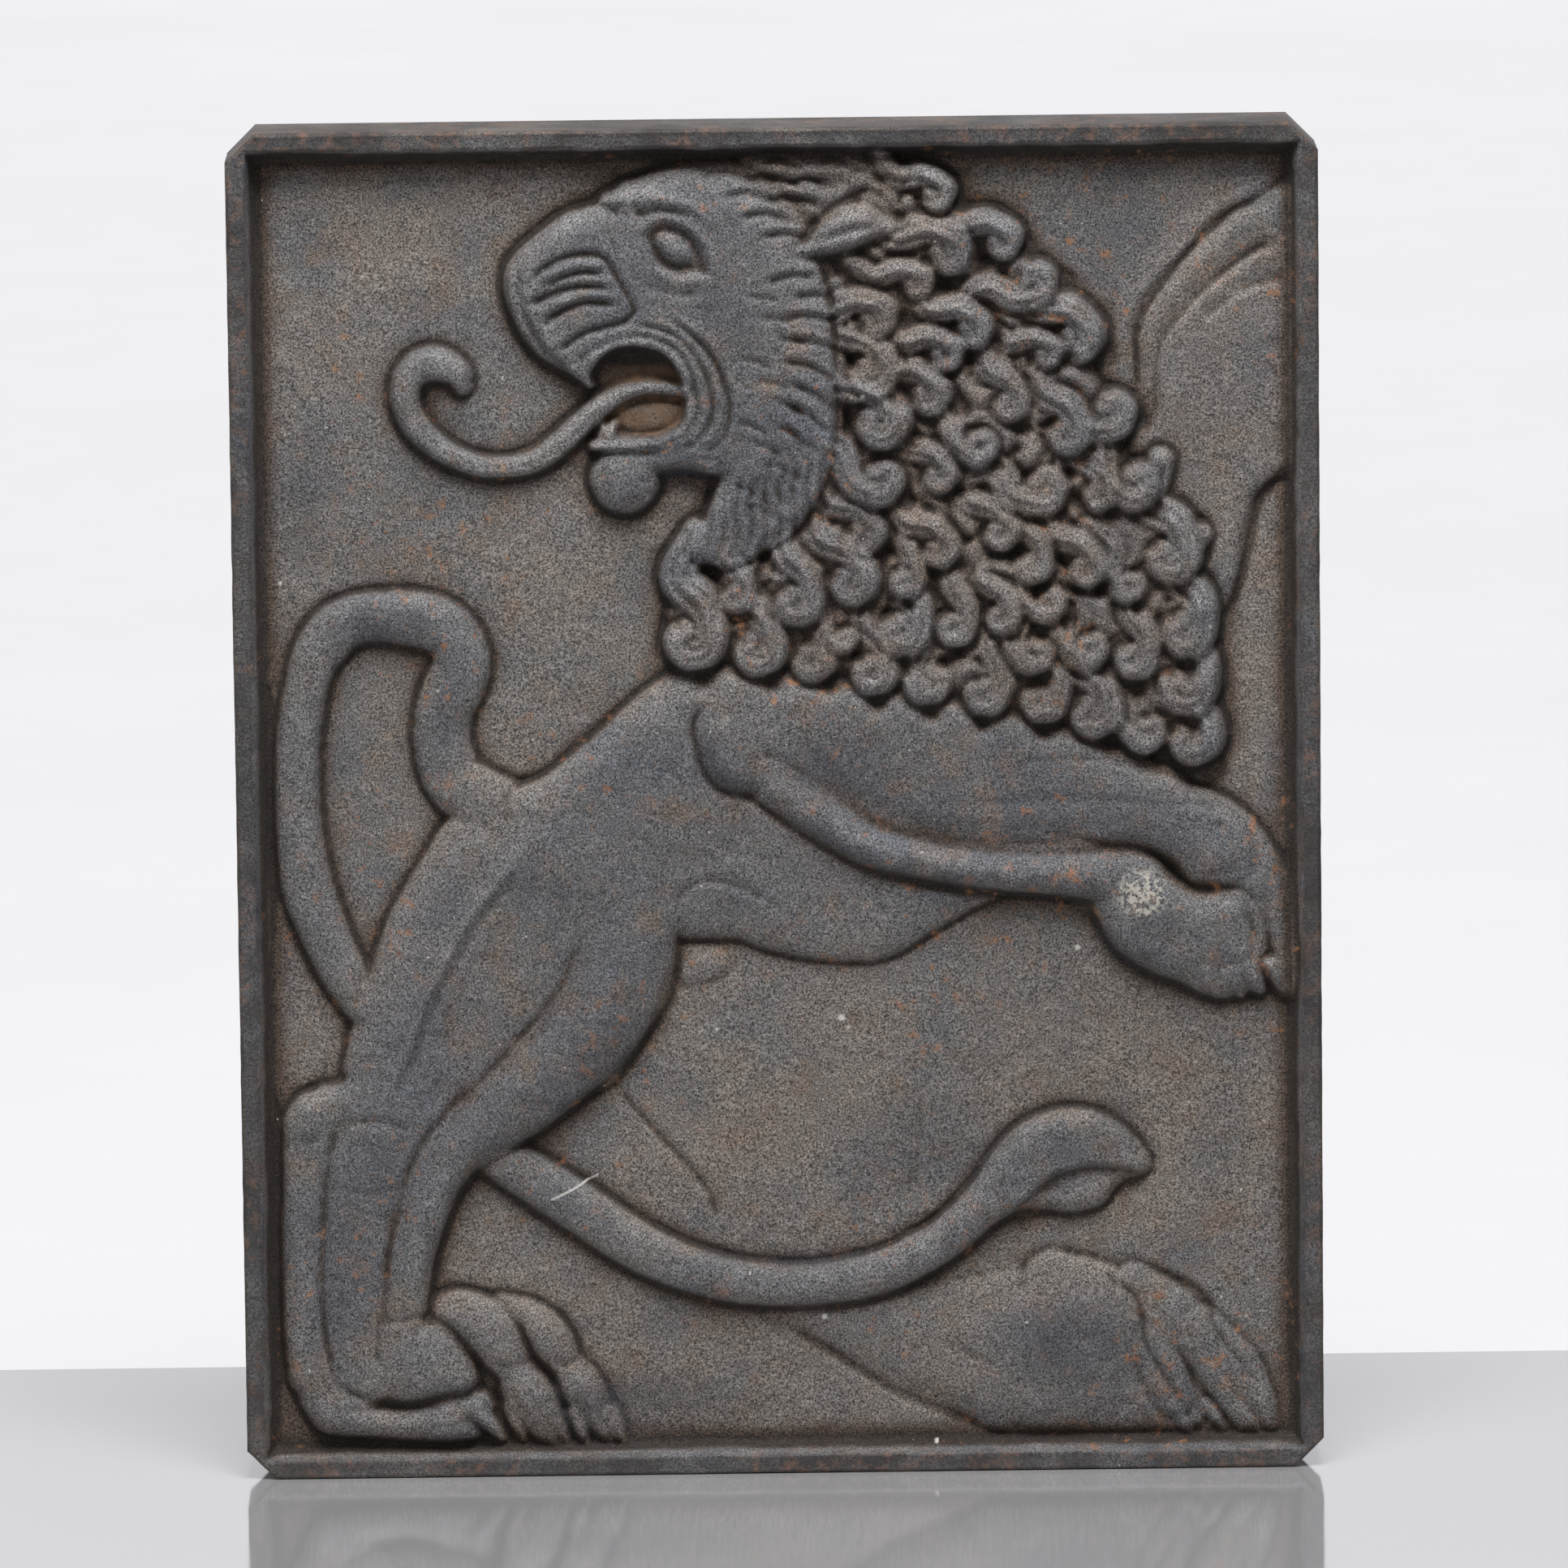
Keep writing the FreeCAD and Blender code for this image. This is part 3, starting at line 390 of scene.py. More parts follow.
    groove([(52, 10), (56, 14), (63, 15), (68, 19)], 0.5)
    limb([(67, 20, 3, 4.6), (72, 15, 2.8, 4.6), (76, 10, 1.4, 2.4)], 0.6)


# Forelegs, which run out to the right and under the rim.
def draw_forelegs():
    limb([(222, 204, 9, 2.8), (244, 202, 11, 4.4), (262, 199, 12, 5.2), (276, 195, 12, 5.3), (288, 188, 13, 5.2),
          (299, 175, 12, 4.8), (306, 160, 10, 4.2), (312, 148, 8, 3.6)], 0.8, 2.6, 2, True)
    fold([(272, 208), (280, 203), (288, 201), (296, 198), (302, 193), (306, 186), (309, 170), (310, 152)],
         -0.6, 4)
    groove([(279, 200), (286, 199), (293, 197.5), (298.5, 192.5), (301.5, 184), (301, 177)], 0.8, 1.2)
    groove([(303, 176), (305, 160), (304, 146)], 0.9, 1.2)
    groove([(307, 185), (309, 168), (310, 150)], 0.9, 1.2)
    mass([(136, 227), (136.5, 218), (139, 210), (143, 206), (150, 204), (156, 200), (164, 195), (172, 190),
          (180, 186), (190, 181), (200, 178), (212, 174.5), (222, 173), (232, 173.5), (242, 172.5), (249, 170, 4),
          (258, 172, 14), (264, 186, 10), (255, 188, 3), (240, 188), (222, 188.5, 2), (205, 191, 4), (190, 196, 8),
          (178, 204, 12), (170, 212, 16), (160, 230, 26), (146, 238, 22)],
         [(145, 215, 7), (150, 222, 6.4), (160, 208, 7), (180, 194, 6.8), (205, 184, 6.8), (235, 180, 6.8),
          (255, 180, 6.9), (146, 230, 5.6)], 9, 1)
    limb([(157, 208, 7, 6.8), (166, 201.5, 8, 7.4), (177, 194, 7.6, 7.7), (188.4, 187.3, 7, 7.8),
          (205, 183, 6.6, 7.7), (223, 180, 6.6, 7.6), (240, 178.8, 7, 7.5), (256, 178, 8.5, 7.5)], 0.6, 2, 1)
    mass([(136, 227), (137, 214), (141, 206.5), (148, 203.5), (154.5, 205.5), (157, 213), (155, 224, 8),
          (146, 233, 14)], [(146, 213, 8.2)], 8, 0.7)
    groove([(163, 226), (172, 212), (186, 201), (202, 194), (222, 191.5), (242, 191), (258, 191)], 0.7, 3)
    mass([(250, 172, 6), (254, 164), (257, 158), (262, 153), (270, 148), (278, 145), (286, 141), (292, 140),
          (297, 142), (302, 142), (305, 150), (303, 163), (299, 172), (292, 174), (283, 174), (276, 178),
          (272, 183), (264, 187, 6), (252, 186, 14), (247, 179, 14)],
         [(262, 176, 7), (270, 165, 7.6), (284, 160, 7.2), (296, 156, 6.2), (290, 146, 5.6)], 9, 1)
    mass([(278, 199), (287, 198), (296, 194), (300, 186), (299, 178), (292, 174.5), (283, 174), (277, 180, 4),
          (273, 190, 10)], [(288, 187, 6.2)], 10, 0.5)
    groove([(206, 200), (230, 200.5), (255, 201), (276, 199)], 0.4, 1.6)
    groove([(284, 172), (290, 165), (293, 156), (292, 146)], 0.35, 2.2)
    groove([(297, 172), (300, 160), (298, 146)], 0.7, 1.1)
    for a, b in [(288, 143), (295, 143), (301, 144), (307, 145)]:
        limb([(a - 2, b + 6, 2.8, 5.6), (a, b + 2, 2.7, 5), (a + 1, b - 0.5, 2.2, 3.4)], 0.4)


# Locks of the mane: each runs out from the face and ends in a knob of across, up and radius.
KNOBS = [
    (208, 381, 5), (227, 367, 6), (211, 364, 6), (237, 355, 6), (218, 341, 5), (190, 345, 6), (202, 355, 5),
    (210, 334, 5), (240, 334, 5), (249, 338, 7), (189, 329, 6), (205, 322, 6), (229, 319, 5), (191, 314, 7),
    (220, 307, 5), (246, 310, 6), (259, 316, 7), (191, 297, 6), (208, 298, 5), (239, 294, 6), (255, 292, 5),
    (266, 295, 7), (226, 281, 5), (186, 281, 6), (208, 276, 6), (235, 271, 5), (251, 270, 6), (264, 265, 5),
    (276, 273, 7), (182, 267, 7), (198, 267, 5), (166, 261, 6), (148, 263, 5), (197, 252, 6), (212, 253, 5),
    (226, 256, 5), (240, 260, 5), (236, 245, 6), (252, 246, 6), (265, 243, 6), (280, 251, 8), (135, 250, 8),
    (154, 247, 7), (170, 244, 6), (180, 250, 4), (188, 240, 6), (205, 237, 6), (221, 233, 6), (238, 231, 7),
    (253, 227, 7), (269, 221, 5), (282, 219, 8), (280, 234, 8),
]
CROWN_OF_HEAD = np.array([160, 372])
MANE_FIELD = 4.9
MANE_EDGE = [
    (150, 393), (176, 394.5), (196, 393), (206, 384), (222, 373), (234, 359), (246, 342), (258, 322), (264, 304),
    (273, 286), (279, 268), (284, 250), (286, 232), (284, 216), (268, 218), (250, 222), (235, 226), (220, 230),
    (204, 233), (187, 237), (170, 240), (152, 242), (134, 244), (128, 252), (130, 264), (150, 270), (170, 283),
    (180, 302), (182, 330), (178, 360), (166, 378)]
# Small locks that fill the field under the larger ones.
UNDERLOCKS = 46


def dent(place, room, depth, width):
    spot = window(np.array([place]), room)
    away = np.hypot(U[spot] - place[0], V[spot] - place[1])
    height[spot] -= depth * np.exp(-(away / width) ** 2)


def draw_lock(knob, turn, lean, lift):
    """One lock: a wavy strand that thickens and curls in at its end, over a pit of its own."""
    place = np.array(knob[:2], float)
    radius = knob[2]
    steep = np.clip((345 - place[1]) / 105, 0, 1)
    angle = math.radians(-22 - 52 * steep + 22 * lean)
    flow = np.array([math.cos(angle), math.sin(angle)])
    beside = np.array([-flow[1], flow[0]]) * turn
    top = MANE_FIELD + 2.7 + lift
    coil = 0.5 * radius
    path = [(*(place - flow * (2.6 * radius + 7) + beside * 2.4 * coil), 0.6 * radius, MANE_FIELD + 0.3),
            (*(place - flow * (1.7 * radius + 4) + beside * 0.4 * coil), 0.76 * radius,
             MANE_FIELD + 1.3 + 0.5 * lift),
            (*(place - flow * (0.9 * radius + 1) + beside * 1.5 * coil), 0.8 * radius, top - 0.6)]
    for step, sweep in enumerate((80, 30, -20, -70, -120, -165)):
        turned = math.radians(sweep)
        reach = coil * (1.2 - 0.09 * step)
        spot = place + reach * (math.cos(turned) * flow + math.sin(turned) * beside)
        path.append((*spot, radius * (0.78 - 0.05 * step), top - 0.12 * step ** 1.5))
    limb(path, 1.1, 2.6, 0.4)
    dent(place - flow * 0.55 * radius - beside * 0.75 * coil, 2.2 * radius, 1.7, 0.3 * radius)
    dent(place + flow * 1.45 * radius, 2.4 * radius, 2.6, 0.42 * radius)
    for offset, depth in ((-0.3, 1.7), (0.28, 1.1)):
        line = [np.array(point[:2]) + offset * radius * beside for point in path[:3]]
        curl = [place + (np.array(point[:2]) - place) * (1 + 1.2 * offset) for point in path[3:8]]
        groove(line + curl, depth, 0.9, 0.1)


def draw_mane():
    mass(MANE_EDGE, [(200, 300, MANE_FIELD), (260, 240, MANE_FIELD), (190, 380, 4)], 7, 1)
    field = curve([(186, 372), (214, 366), (236, 342), (252, 306), (268, 272), (276, 232), (236, 240), (190, 250),
                   (150, 256), (182, 290)], closed=True)
    low, high = field.min(0), field.max(0)
    drawn = 0
    while drawn < UNDERLOCKS:
        place = rng.uniform(low, high)
        cell = (slice(*np.searchsorted(across, [place[0], place[0] + GRID_STEP])),
                slice(*np.searchsorted(up, [place[1], place[1] + GRID_STEP])))
        if inside(field, cell).all():
            draw_lock((*place, rng.uniform(3.6, 4.6)), 1 if rng.uniform() < 0.7 else -1, rng.uniform(-1, 1), -1.4)
            drawn += 1
    for *place, radius in sorted(KNOBS, key=lambda knob: -np.hypot(*(np.array(knob[:2]) - CROWN_OF_HEAD))):
        turn = 1 if rng.uniform() < 0.72 else -1
        size = radius * rng.uniform(0.95, 1.2)
        draw_lock((*place, size), turn, rng.uniform(-1, 1), rng.uniform(-0.6, 0.8))
    for a, b in [(150, 388), (158, 391), (166, 385), (174, 391), (183, 387), (191, 391), (198, 385)]:
        groove([(a, b), (a + 4, b + 1.5), (a + 8, b - 0.5), (a + 12, b - 2.5)], 1.2, 1)
        groove([(a - 2, b - 6), (a + 3, b - 4.5), (a + 9, b - 6.5)], 1, 0.9)


# Head: cheek and ruff, face, mouth, tongue, eye and ear.
def draw_head():
    mass([(143, 299), (138, 285), (134, 278), (135, 274), (140, 271.5), (147, 271), (154, 274), (160, 277),
          (166, 281), (173, 288), (177, 294), (180, 304), (181, 325), (180.5, 345, 2), (178, 362, 10), (170, 377, 14),
          (156, 390, 14), (140, 392, 8), (128, 390, 2), (121, 387.5), (116, 386), (110, 381), (105, 379), (99, 377),
          (92, 372), (86, 367), (82, 362), (80.5, 357), (81, 352), (83, 346), (86, 340), (90, 335), (94, 332),
          (98, 329.5), (106, 326), (109, 318), (107, 311), (107, 306), (114, 303), (128, 302), (136, 300)],
         [(90, 352, 6.4), (104, 354, 7.4), (118, 362, 7.4), (130, 352, 7.2), (140, 372, 7), (148, 350, 6.8),
          (150, 326, 6.6), (112, 308, 5.8), (130, 306, 6.2), (124, 384, 6.6), (150, 300, 6), (155, 280, 5.4),
          (172, 300, 5.6), (174, 330, 5.8), (160, 340, 6.6), (150, 365, 6.8), (165, 372, 5.8), (140, 386, 6.2)],
         6.5, 1.4)
    ball(116, 298, 10.5, 6.6, 1.6, 1.2)
    limb([(121, 303, 5, 5.6), (132, 304, 4, 5.8), (143, 302, 4, 5.4)], 0.3)
    sink([(127, 300), (132, 300.5), (138, 299.5), (143, 298), (138, 296), (131, 295)], 0.2, 1.2)
    sink([(106, 329), (109, 334.5), (114, 337.5), (120, 338), (126, 336.5), (130, 333.5), (132.5, 329),
          (134, 323), (134.3, 317), (131.5, 312.5), (125, 310), (116, 310), (111, 311), (109.5, 317),
          (107, 323)], 0.2, 1.3)
    mass([(113, 319), (120, 321), (130, 321.5), (134, 319.5), (134, 316), (131, 313), (125, 311), (118, 311),
          (115, 313)], [(124, 316, 1.6)], 3, 0)
    limb([(101, 332, 3.2, 6.2), (104, 329, 2.6, 5.6), (106, 326, 1.6, 4)], 0.8)
    limb([(110.5, 309, 2.6, 5), (112, 312, 2.2, 4.6), (112.8, 314.5, 1.6, 3.6)], 0.4)
    limb([(107, 308, 1.8, 5.8), (116, 308, 1.8, 6.2), (127, 308.6, 1.8, 6.4)], 0.4)
    for rings in [
            [(99, 331.5), (104, 334.5), (109, 337.5), (114, 340), (120, 341), (127, 339.5), (132, 336),
             (135.5, 330), (137, 323), (137, 316), (134.5, 311.5), (129, 309.5)],
            [(118, 344.5), (126, 343), (132, 340), (137, 334), (140.5, 327), (142, 319), (140.5, 312.5),
             (136, 308.5), (130, 306.5)],
            [(130, 345), (136, 341), (142, 334), (145.5, 326), (147, 318), (145.5, 310.5), (141, 306)]]:
        groove(rings, 1.4, 1, 0.12)
        groove([(a + 1.8, b + 0.8) for a, b in rings], -0.7, 1.1, 0.12)
    groove([(87, 355), (93, 361), (100, 364.5), (107, 365), (111, 363.5), (113, 360), (116, 355), (119, 349),
            (118.5, 347), (116, 345), (110, 343.5), (104, 341.5), (99, 338), (95, 336)], 1.7, 1, 0.1)
    for whisker in [
            [(91, 354.5), (98, 358), (105, 359.8), (111, 359)],
            [(88.5, 350), (95, 353.5), (104, 355.5), (113, 354.6)],
            [(92, 344.5), (99, 349), (106, 351), (115, 350)]]:
        groove(whisker, 1.7, 1.2)
        groove([(a, b + 2.6) for a, b in whisker], -0.8, 1.5)
    groove([(86.5, 365), (85, 357), (86, 350), (88.5, 343), (92.5, 337), (97, 332.5)], 1.6, 1.1)
    almond = [(123.4, 370.5), (127, 373.6), (131.5, 373.2), (135.5, 371), (138.5, 367.4), (140.3, 362.5),
              (141, 358.6), (136.5, 359.3), (131.8, 359.2), (127.6, 361), (124.8, 364.6)]
    sink(almond, 5.2, 1)
    mass(almond, [(131, 367, 8), (138, 361, 6.8)], 6.5, 0.8)
    groove([(122.5, 371.5), (126.5, 375.3), (131.8, 375), (136.5, 372.6), (140, 368.4), (142, 363), (142.8, 358)],
           -0.9, 1.2, 0.1)
    groove([(122.5, 368), (124, 362.6), (127.4, 359.2), (131.8, 357.4), (137, 357.4), (142, 357.4)], -0.6, 1.2, 0.1)
    groove([(121, 358), (126, 354.5), (133, 353), (140, 353.5)], 0.7, 1.3)
    groove([(120, 376), (125, 377.5), (130, 377.5), (136, 376)], 0.8, 1.1)
    limb([(112, 380, 3, 6.8), (119, 381, 4, 7.4), (128, 381, 4, 7.6), (138, 378, 4, 7.4), (145, 371, 3, 6.8)], 0.3)
    groove([(118.5, 384), (120, 379), (122.5, 375)], 1, 1)
    groove([(110, 380.5), (113, 378.5), (115, 375)], 0.8, 1)
    for stroke in [
            [(158, 356), (165, 358), (173, 357.5)], [(166, 352), (173, 352), (179, 350)],
            [(163, 346), (172, 346), (179, 343.5)], [(164, 339.5), (172, 338.5), (179, 335)],
            [(162, 333), (171, 331), (178.5, 326)], [(164, 326.5), (172, 323), (179, 317)],
            [(163, 320), (170, 317), (176, 311)], [(160, 314), (166, 311), (171, 306)]]:
        groove(stroke, 1.2, 1.1)
        groove([(a, b + 1.9) for a, b in stroke], -0.5, 1.1)
    for step in range(9):
        foot = (139 + 4.2 * step, 273.5 + 0.13 * step ** 2)
        groove([foot, (foot[0] + 1.6, foot[1] + 8), (foot[0] + 1, foot[1] + 15), (foot[0] + 3, foot[1] + 25)],
               1.3, 1)
    for step in range(6):
        groove([(162 + 2 * step, 284 + 4 * step), (157 + 2.5 * step, 292 + 4 * step),
                (155 + 2 * step, 300 + 4 * step)], 0.9, 1)
    for step in range(11):
        a, b = 152 - 0.6 * step + 5 * (step % 3), 352 - 6.2 * step
        groove([(a, b), (a + 5, b - 0.1 * step - 0.4), (a + 10, b - 0.45 * step - 1.5)], 0.9, 0.8)
    for a, b in [(139, 387.5), (145, 381), (152, 386), (150, 375), (158, 379.5), (164, 385), (156, 369)]:
        groove([(a, b), (a + 6, b + 1.2), (a + 12, b + 0.2), (a + 17, b - 2.4)], 1.3, 1)
        groove([(a + 1, b + 2.4), (a + 7, b + 3.6), (a + 13, b + 2.4)], -0.6, 1.2)
    groove([(174, 362), (177, 351), (178.4, 334), (178.6, 319), (177.8, 304), (173.5, 291.5), (165, 279)],
           2.2, 1, 0.06)
    mass([(166, 364.5, 4), (170, 369), (174.5, 375), (180, 379), (187, 379.6), (193, 376), (198, 372), (191, 367.5),
          (183, 364), (174, 362.5)], [(172, 367, 6.4), (183, 372, 7.8), (194, 373, 6.4)], 5, 1.5)
    groove([(170, 366.5), (177, 369.5), (185, 371.5), (192, 372.4)], 1.2, 1.3)
    groove([(176, 374), (182, 376.4), (188, 376)], 0.7, 1)


def draw_tongue():
    limb([(133, 324, 2.5, 3.6), (122, 325, 2.6, 4.2), (112, 321.5, 3.4, 4.6), (104, 315, 3.8, 4.6),
          (97, 308.5, 3.9, 4.4), (90, 303.6, 3.6, 4.3), (82, 301.7, 3.4, 4.2), (74, 302, 3.4, 4.2),
          (66, 304.8, 3.6, 4.2), (59.5, 309, 4, 4.2), (54.5, 314.5, 4.4, 4.2), (51.8, 321, 4.6, 4.2),
          (52.5, 327.5, 5, 4.2), (56.5, 331.8, 5.4, 4.2), (62, 332.3, 5.4, 4.1), (67, 329.5, 4.4, 3.8),
          (68.5, 326, 3, 3.2)], 0.9, 2.4)
    groove([(118, 324), (110, 319), (102, 312), (95, 306.5), (88, 303), (78, 302), (68, 304.2), (60, 309.5),
            (55, 316)], 0.55, 1)


def draw_rim():
    """Flat lip and its sloping inner wall, square at the corners, over everything that runs under them."""
    inset = np.minimum(np.minimum(U, WIDE - U), np.minimum(V, TALL - V))
    waver = 0.35 * cloud(14) + 0.2 * cloud(5)
    share = np.clip((inset - LIP_FLAT - waver * np.clip(inset - 2, 0, 1)) / LIP_SLOPE, 0, 1)
    wall = RECESS * (1 - share) ** 2 * (1 + 0.5 * share)
    trench(EVERYWHERE, inset - LIP_FLAT - LIP_SLOPE, 0.2 + 0.5 * np.clip(V / 20 - 0.8, 0, 1), 2.0)
    np.maximum(height, wall, out=height, where=inset < LIP_FLAT + LIP_SLOPE)
    return inset


def from_edge(inset):
    """How far places are from the outline, cut corners included."""
    for a, b in CORNERS:
        inset = np.minimum(inset, (np.abs(U - a) + np.abs(V - b) - CORNER_CUT) / math.sqrt(2))
    return inset


draw_background()
draw_tail()
draw_hindquarters()
draw_forelegs()
draw_mane()
draw_head()
draw_tongue()
height = blurred(height, GRID_STEP, 1)
height += 0.2 * cloud(22) + 0.14 * cloud(7) + 0.1 * cloud(2.6) + 0.07 * cloud(1.4)
for gap in ([(10.2, 84), (10, 98), (10.2, 113)], [(10.2, 160), (10, 190), (10.2, 236)]):
    groove(gap, 2.4, 1.3, 0.2)
inset = draw_rim()
height -= (0.12 + 0.12 * cloud(3)) * np.clip(from_edge(inset) - EDGE_ROUND, 0, 1)
height = np.clip(height, -1.2, HIGHEST)


# Meshes.
def mesh_piece(name, verts, faces, smooth=True):
    mesh = bpy.data.meshes.new(name)
    mesh.from_pydata(verts, [], faces)
    mesh.polygons.foreach_set("use_smooth", [smooth] * len(mesh.polygons))
    mesh.update()
    piece = bpy.data.objects.new(name, mesh)
    bpy.context.scene.collection.objects.link(piece)
    return piece


def grid_faces(columns, rows):
    index = np.arange(columns * rows).reshape(columns, rows)
    return np.stack([index[:-1, :-1], index[1:, :-1], index[1:, 1:], index[:-1, 1:]], -1).reshape(-1, 4)


def ring_faces(rings, count):
    """Faces between closed rings of the same number of places."""
    index = np.arange(rings * count).reshape(rings, count)
    following = np.roll(index, -1, 1)
    return np.stack([index[:-1], index[1:], following[1:], following[:-1]], -1).reshape(-1, 4)


def cut_corners(x, z, edge):
    """Draws places outside the cut corners back onto them; also says which places moved."""
    leg = CORNER_CUT - edge * (2 - math.sqrt(2))
    moved = np.zeros(x.shape, bool)
    for a, b in CORNERS:
        from_side, from_end = np.abs(x - a) - edge, np.abs(z - b) - edge
        short = np.clip((leg - from_side - from_end) / 2, 0, None)
        moved |= short > 0
        x = x + (-short if a else short)
        z = z + (-short if b else short)
    return x, z, moved


def add_values(piece, name, values):
    layer = piece.data.attributes.new(name, "FLOAT", "POINT")
    layer.data.foreach_set("value", values.ravel().astype(np.float32))


# Stretches of the left rim that stand off the ground, as low and high ends, where a line of painted shadow runs along
# the rim's foot.
SHADOWED_RIM_GAPS = [(84, 113), (186, 236)]
# Blue black smudges, as across, up, half width, half height and strength.
SMUDGES = [
    (244, 38, 18, 11, 0.8), (270, 160, 13, 9, 0.95), (146, 216, 9, 10, 0.85), (174, 214, 15, 9, 0.6),
    (63, 228, 6, 13, 0.65), (145, 346, 10, 9, 0.55), (128, 305, 14, 8, 0.85), (116, 298, 8, 8, 0.95),
    (18, 286, 8, 16, 0.5), (118, 20, 30, 9, 0.65), (40, 257, 12, 6, 0.75), (160, 62, 26, 5, 0.5),
    (30, 60, 6, 22, 0.3), (52, 36, 9, 7, 0.35), (262, 365, 14, 10, 0.35), (200, 100, 30, 14, 0.3),
    (245, 120, 40, 20, 0.2),
]
# Spots of old pale paint on the ground, as across, up and radius.
PALE_SPECKS = [(248, 156.3, 0.9), (178, 136, 1.1), (180, 133, 0.6), (141, 133, 0.6), (205, 8, 0.7), (172, 46, 0.9),
               (14, 268, 0.7), (186, 322, 0.7), (60, 236, 0.5), (232, 44, 0.5), (150, 60, 0.5), (100, 352, 0.5)]
# Scratch across the tail, and the bare iron on the paw.
SCRATCH = [(91.5, 83), (98, 86), (105, 89.5)]
BARE_PAW = (267, 173, 8.5, 8)
# Painted shade in the deep throat over the tongue, and brown dust in the mouth under and over it.
THROAT_SHADE = (120, 335.5, 13, 3.6)
MOUTH_LOW, MOUTH_HIGH = (124, 316, 10, 6), (122, 328, 10, 5)
# Blurs that tell pits and crowns from the form around them.
FINE_BLUR, RISE_BLUR, WIDE_BLUR = 1.2, 2.4, 4.5
SHADOW_REACH = 2.0


def patch(a, b, half_wide, half_high, edge=1.5):
    """1 around a place, falling to 0 at its edge."""
    return np.clip(edge - np.hypot((U - a) / half_wide, (V - b) / half_high), 0, 1)


def front_values():
    """Named values for every place on the front, which the iron's look follows."""
    fine, wide = blurred(height, FINE_BLUR), blurred(height, WIDE_BLUR)
    mane = blurred(inside(curve(MANE_EDGE, closed=True), EVERYWHERE) * 1.0, SHADOW_REACH)
    # Painted shadow below forms: places with higher relief just above them are darkened, as if lit from above.
    shadow_below = np.roll(height, -round(SHADOW_REACH / GRID_STEP), 1) - height
    # Painted shade in creases, where the relief lies below its fine blur, partly dirt.
    crease_shade = np.clip((fine - height) / 0.8, 0, 0.85) * (1 - 0.1 * mane)
    crease_shade = np.maximum(crease_shade, np.clip(shadow_below / 2.5 - 0.14, 0, 0.95))
    # Painted shadow along the foot of the left rim where it stands off the ground.
    rim_gap_shadow = np.clip(1.6 - np.abs(U - LIP_FLAT - LIP_SLOPE) / 0.8, 0, 1)
    for low, high in SHADOWED_RIM_GAPS:
        crease_shade = np.maximum(crease_shade, rim_gap_shadow * np.clip(np.minimum(V - low, high - V) / 8, 0, 1))
    # Painted shade on the low places of the throat.
    throat_shade = patch(*THROAT_SHADE, 1.9) * (height < 3)
    mouth = np.maximum(patch(*MOUTH_LOW, 1.6), patch(*MOUTH_HIGH)) * (height < 2.6)
    scratch = nearest(np.array(SCRATCH), EVERYWHERE)[0]
    specks = [patch(a, b, radius, radius) for a, b, radius in PALE_SPECKS]
    return {
        # Depth below the wide blur: it lays dirt and painted shade into hollows, and dulls them.
        "cavity": np.clip((wide - height) / 2.2, 0, 1),
        "crease_shade": np.maximum(crease_shade, throat_shade),
        # The lip's flat gets painted shade, darkening it against the lamp, and rust along its edges.
        "rim_shade_and_rust": 0.95 * np.clip(LIP_FLAT + 0.7 - inset, 0, 1),
        "smudge": np.max([share * patch(*place) for *place, share in SMUDGES], 0),
        "mane": mane,
        "crown": np.clip((height - wide) / 1.8, 0, 1),
        "worn": patch(*BARE_PAW, 1.25),
        "mouth": mouth * (1 - throat_shade),
        "speck": np.maximum(np.max(specks, 0), np.clip(1.2 - scratch / 0.5, 0, 1)),
        "rise": np.clip(blurred(height, RISE_BLUR) / 7, 0, 1),
    }


def relief_front():
    """The carved front, with a flat layout of its surface."""
    x, z, moved = cut_corners(U, V, EDGE_ROUND)
    verts = np.stack([x - WIDE / 2, GROUND - height, z], -1).reshape(-1, 3) * MM
    faces = grid_faces(*U.shape)
    faces = faces[~moved.ravel()[faces].all(1)]
    piece = mesh_piece("relief_front", verts.tolist(), faces.tolist())
    for name, values in front_values().items():
        add_values(piece, name, values)
    layer = piece.data.uv_layers.new(name="OFBake")
    corner = np.zeros(len(piece.data.loops), int)
    piece.data.loops.foreach_get("vertex_index", corner)
    flat = np.stack([U.ravel() / WIDE, V.ravel() / TALL], -1)[corner]
    layer.data.foreach_set("uv", flat.ravel())
    return piece


DEEPEST_DENT = 0.22
LONG_SIDE_PARTS, SHORT_SIDE_PARTS, CUT_PARTS = 76, 60, 4


def outline_loop(edge, level):
    """Places around the plaque at an inset and a level, the same number on every loop."""
    leg = CORNER_CUT - edge * (2 - math.sqrt(2))
    left, right, low, high = edge, WIDE - edge, edge, TALL - edge
    corners = [(left + leg, low), (right - leg, low), (right, low + leg), (right, high - leg),
               (right - leg, high), (left + leg, high), (left, high - leg), (left, low + leg)]
    counts = [SHORT_SIDE_PARTS, CUT_PARTS, LONG_SIDE_PARTS, CUT_PARTS] * 2
    loop = []
    for (a, b), (c, d), count in zip(corners, corners[1:] + corners[:1], counts):
        for share in np.arange(count) / count:
            loop.append((a + share * (c - a) - WIDE / 2, level, b + share * (d - b)))
    return loop


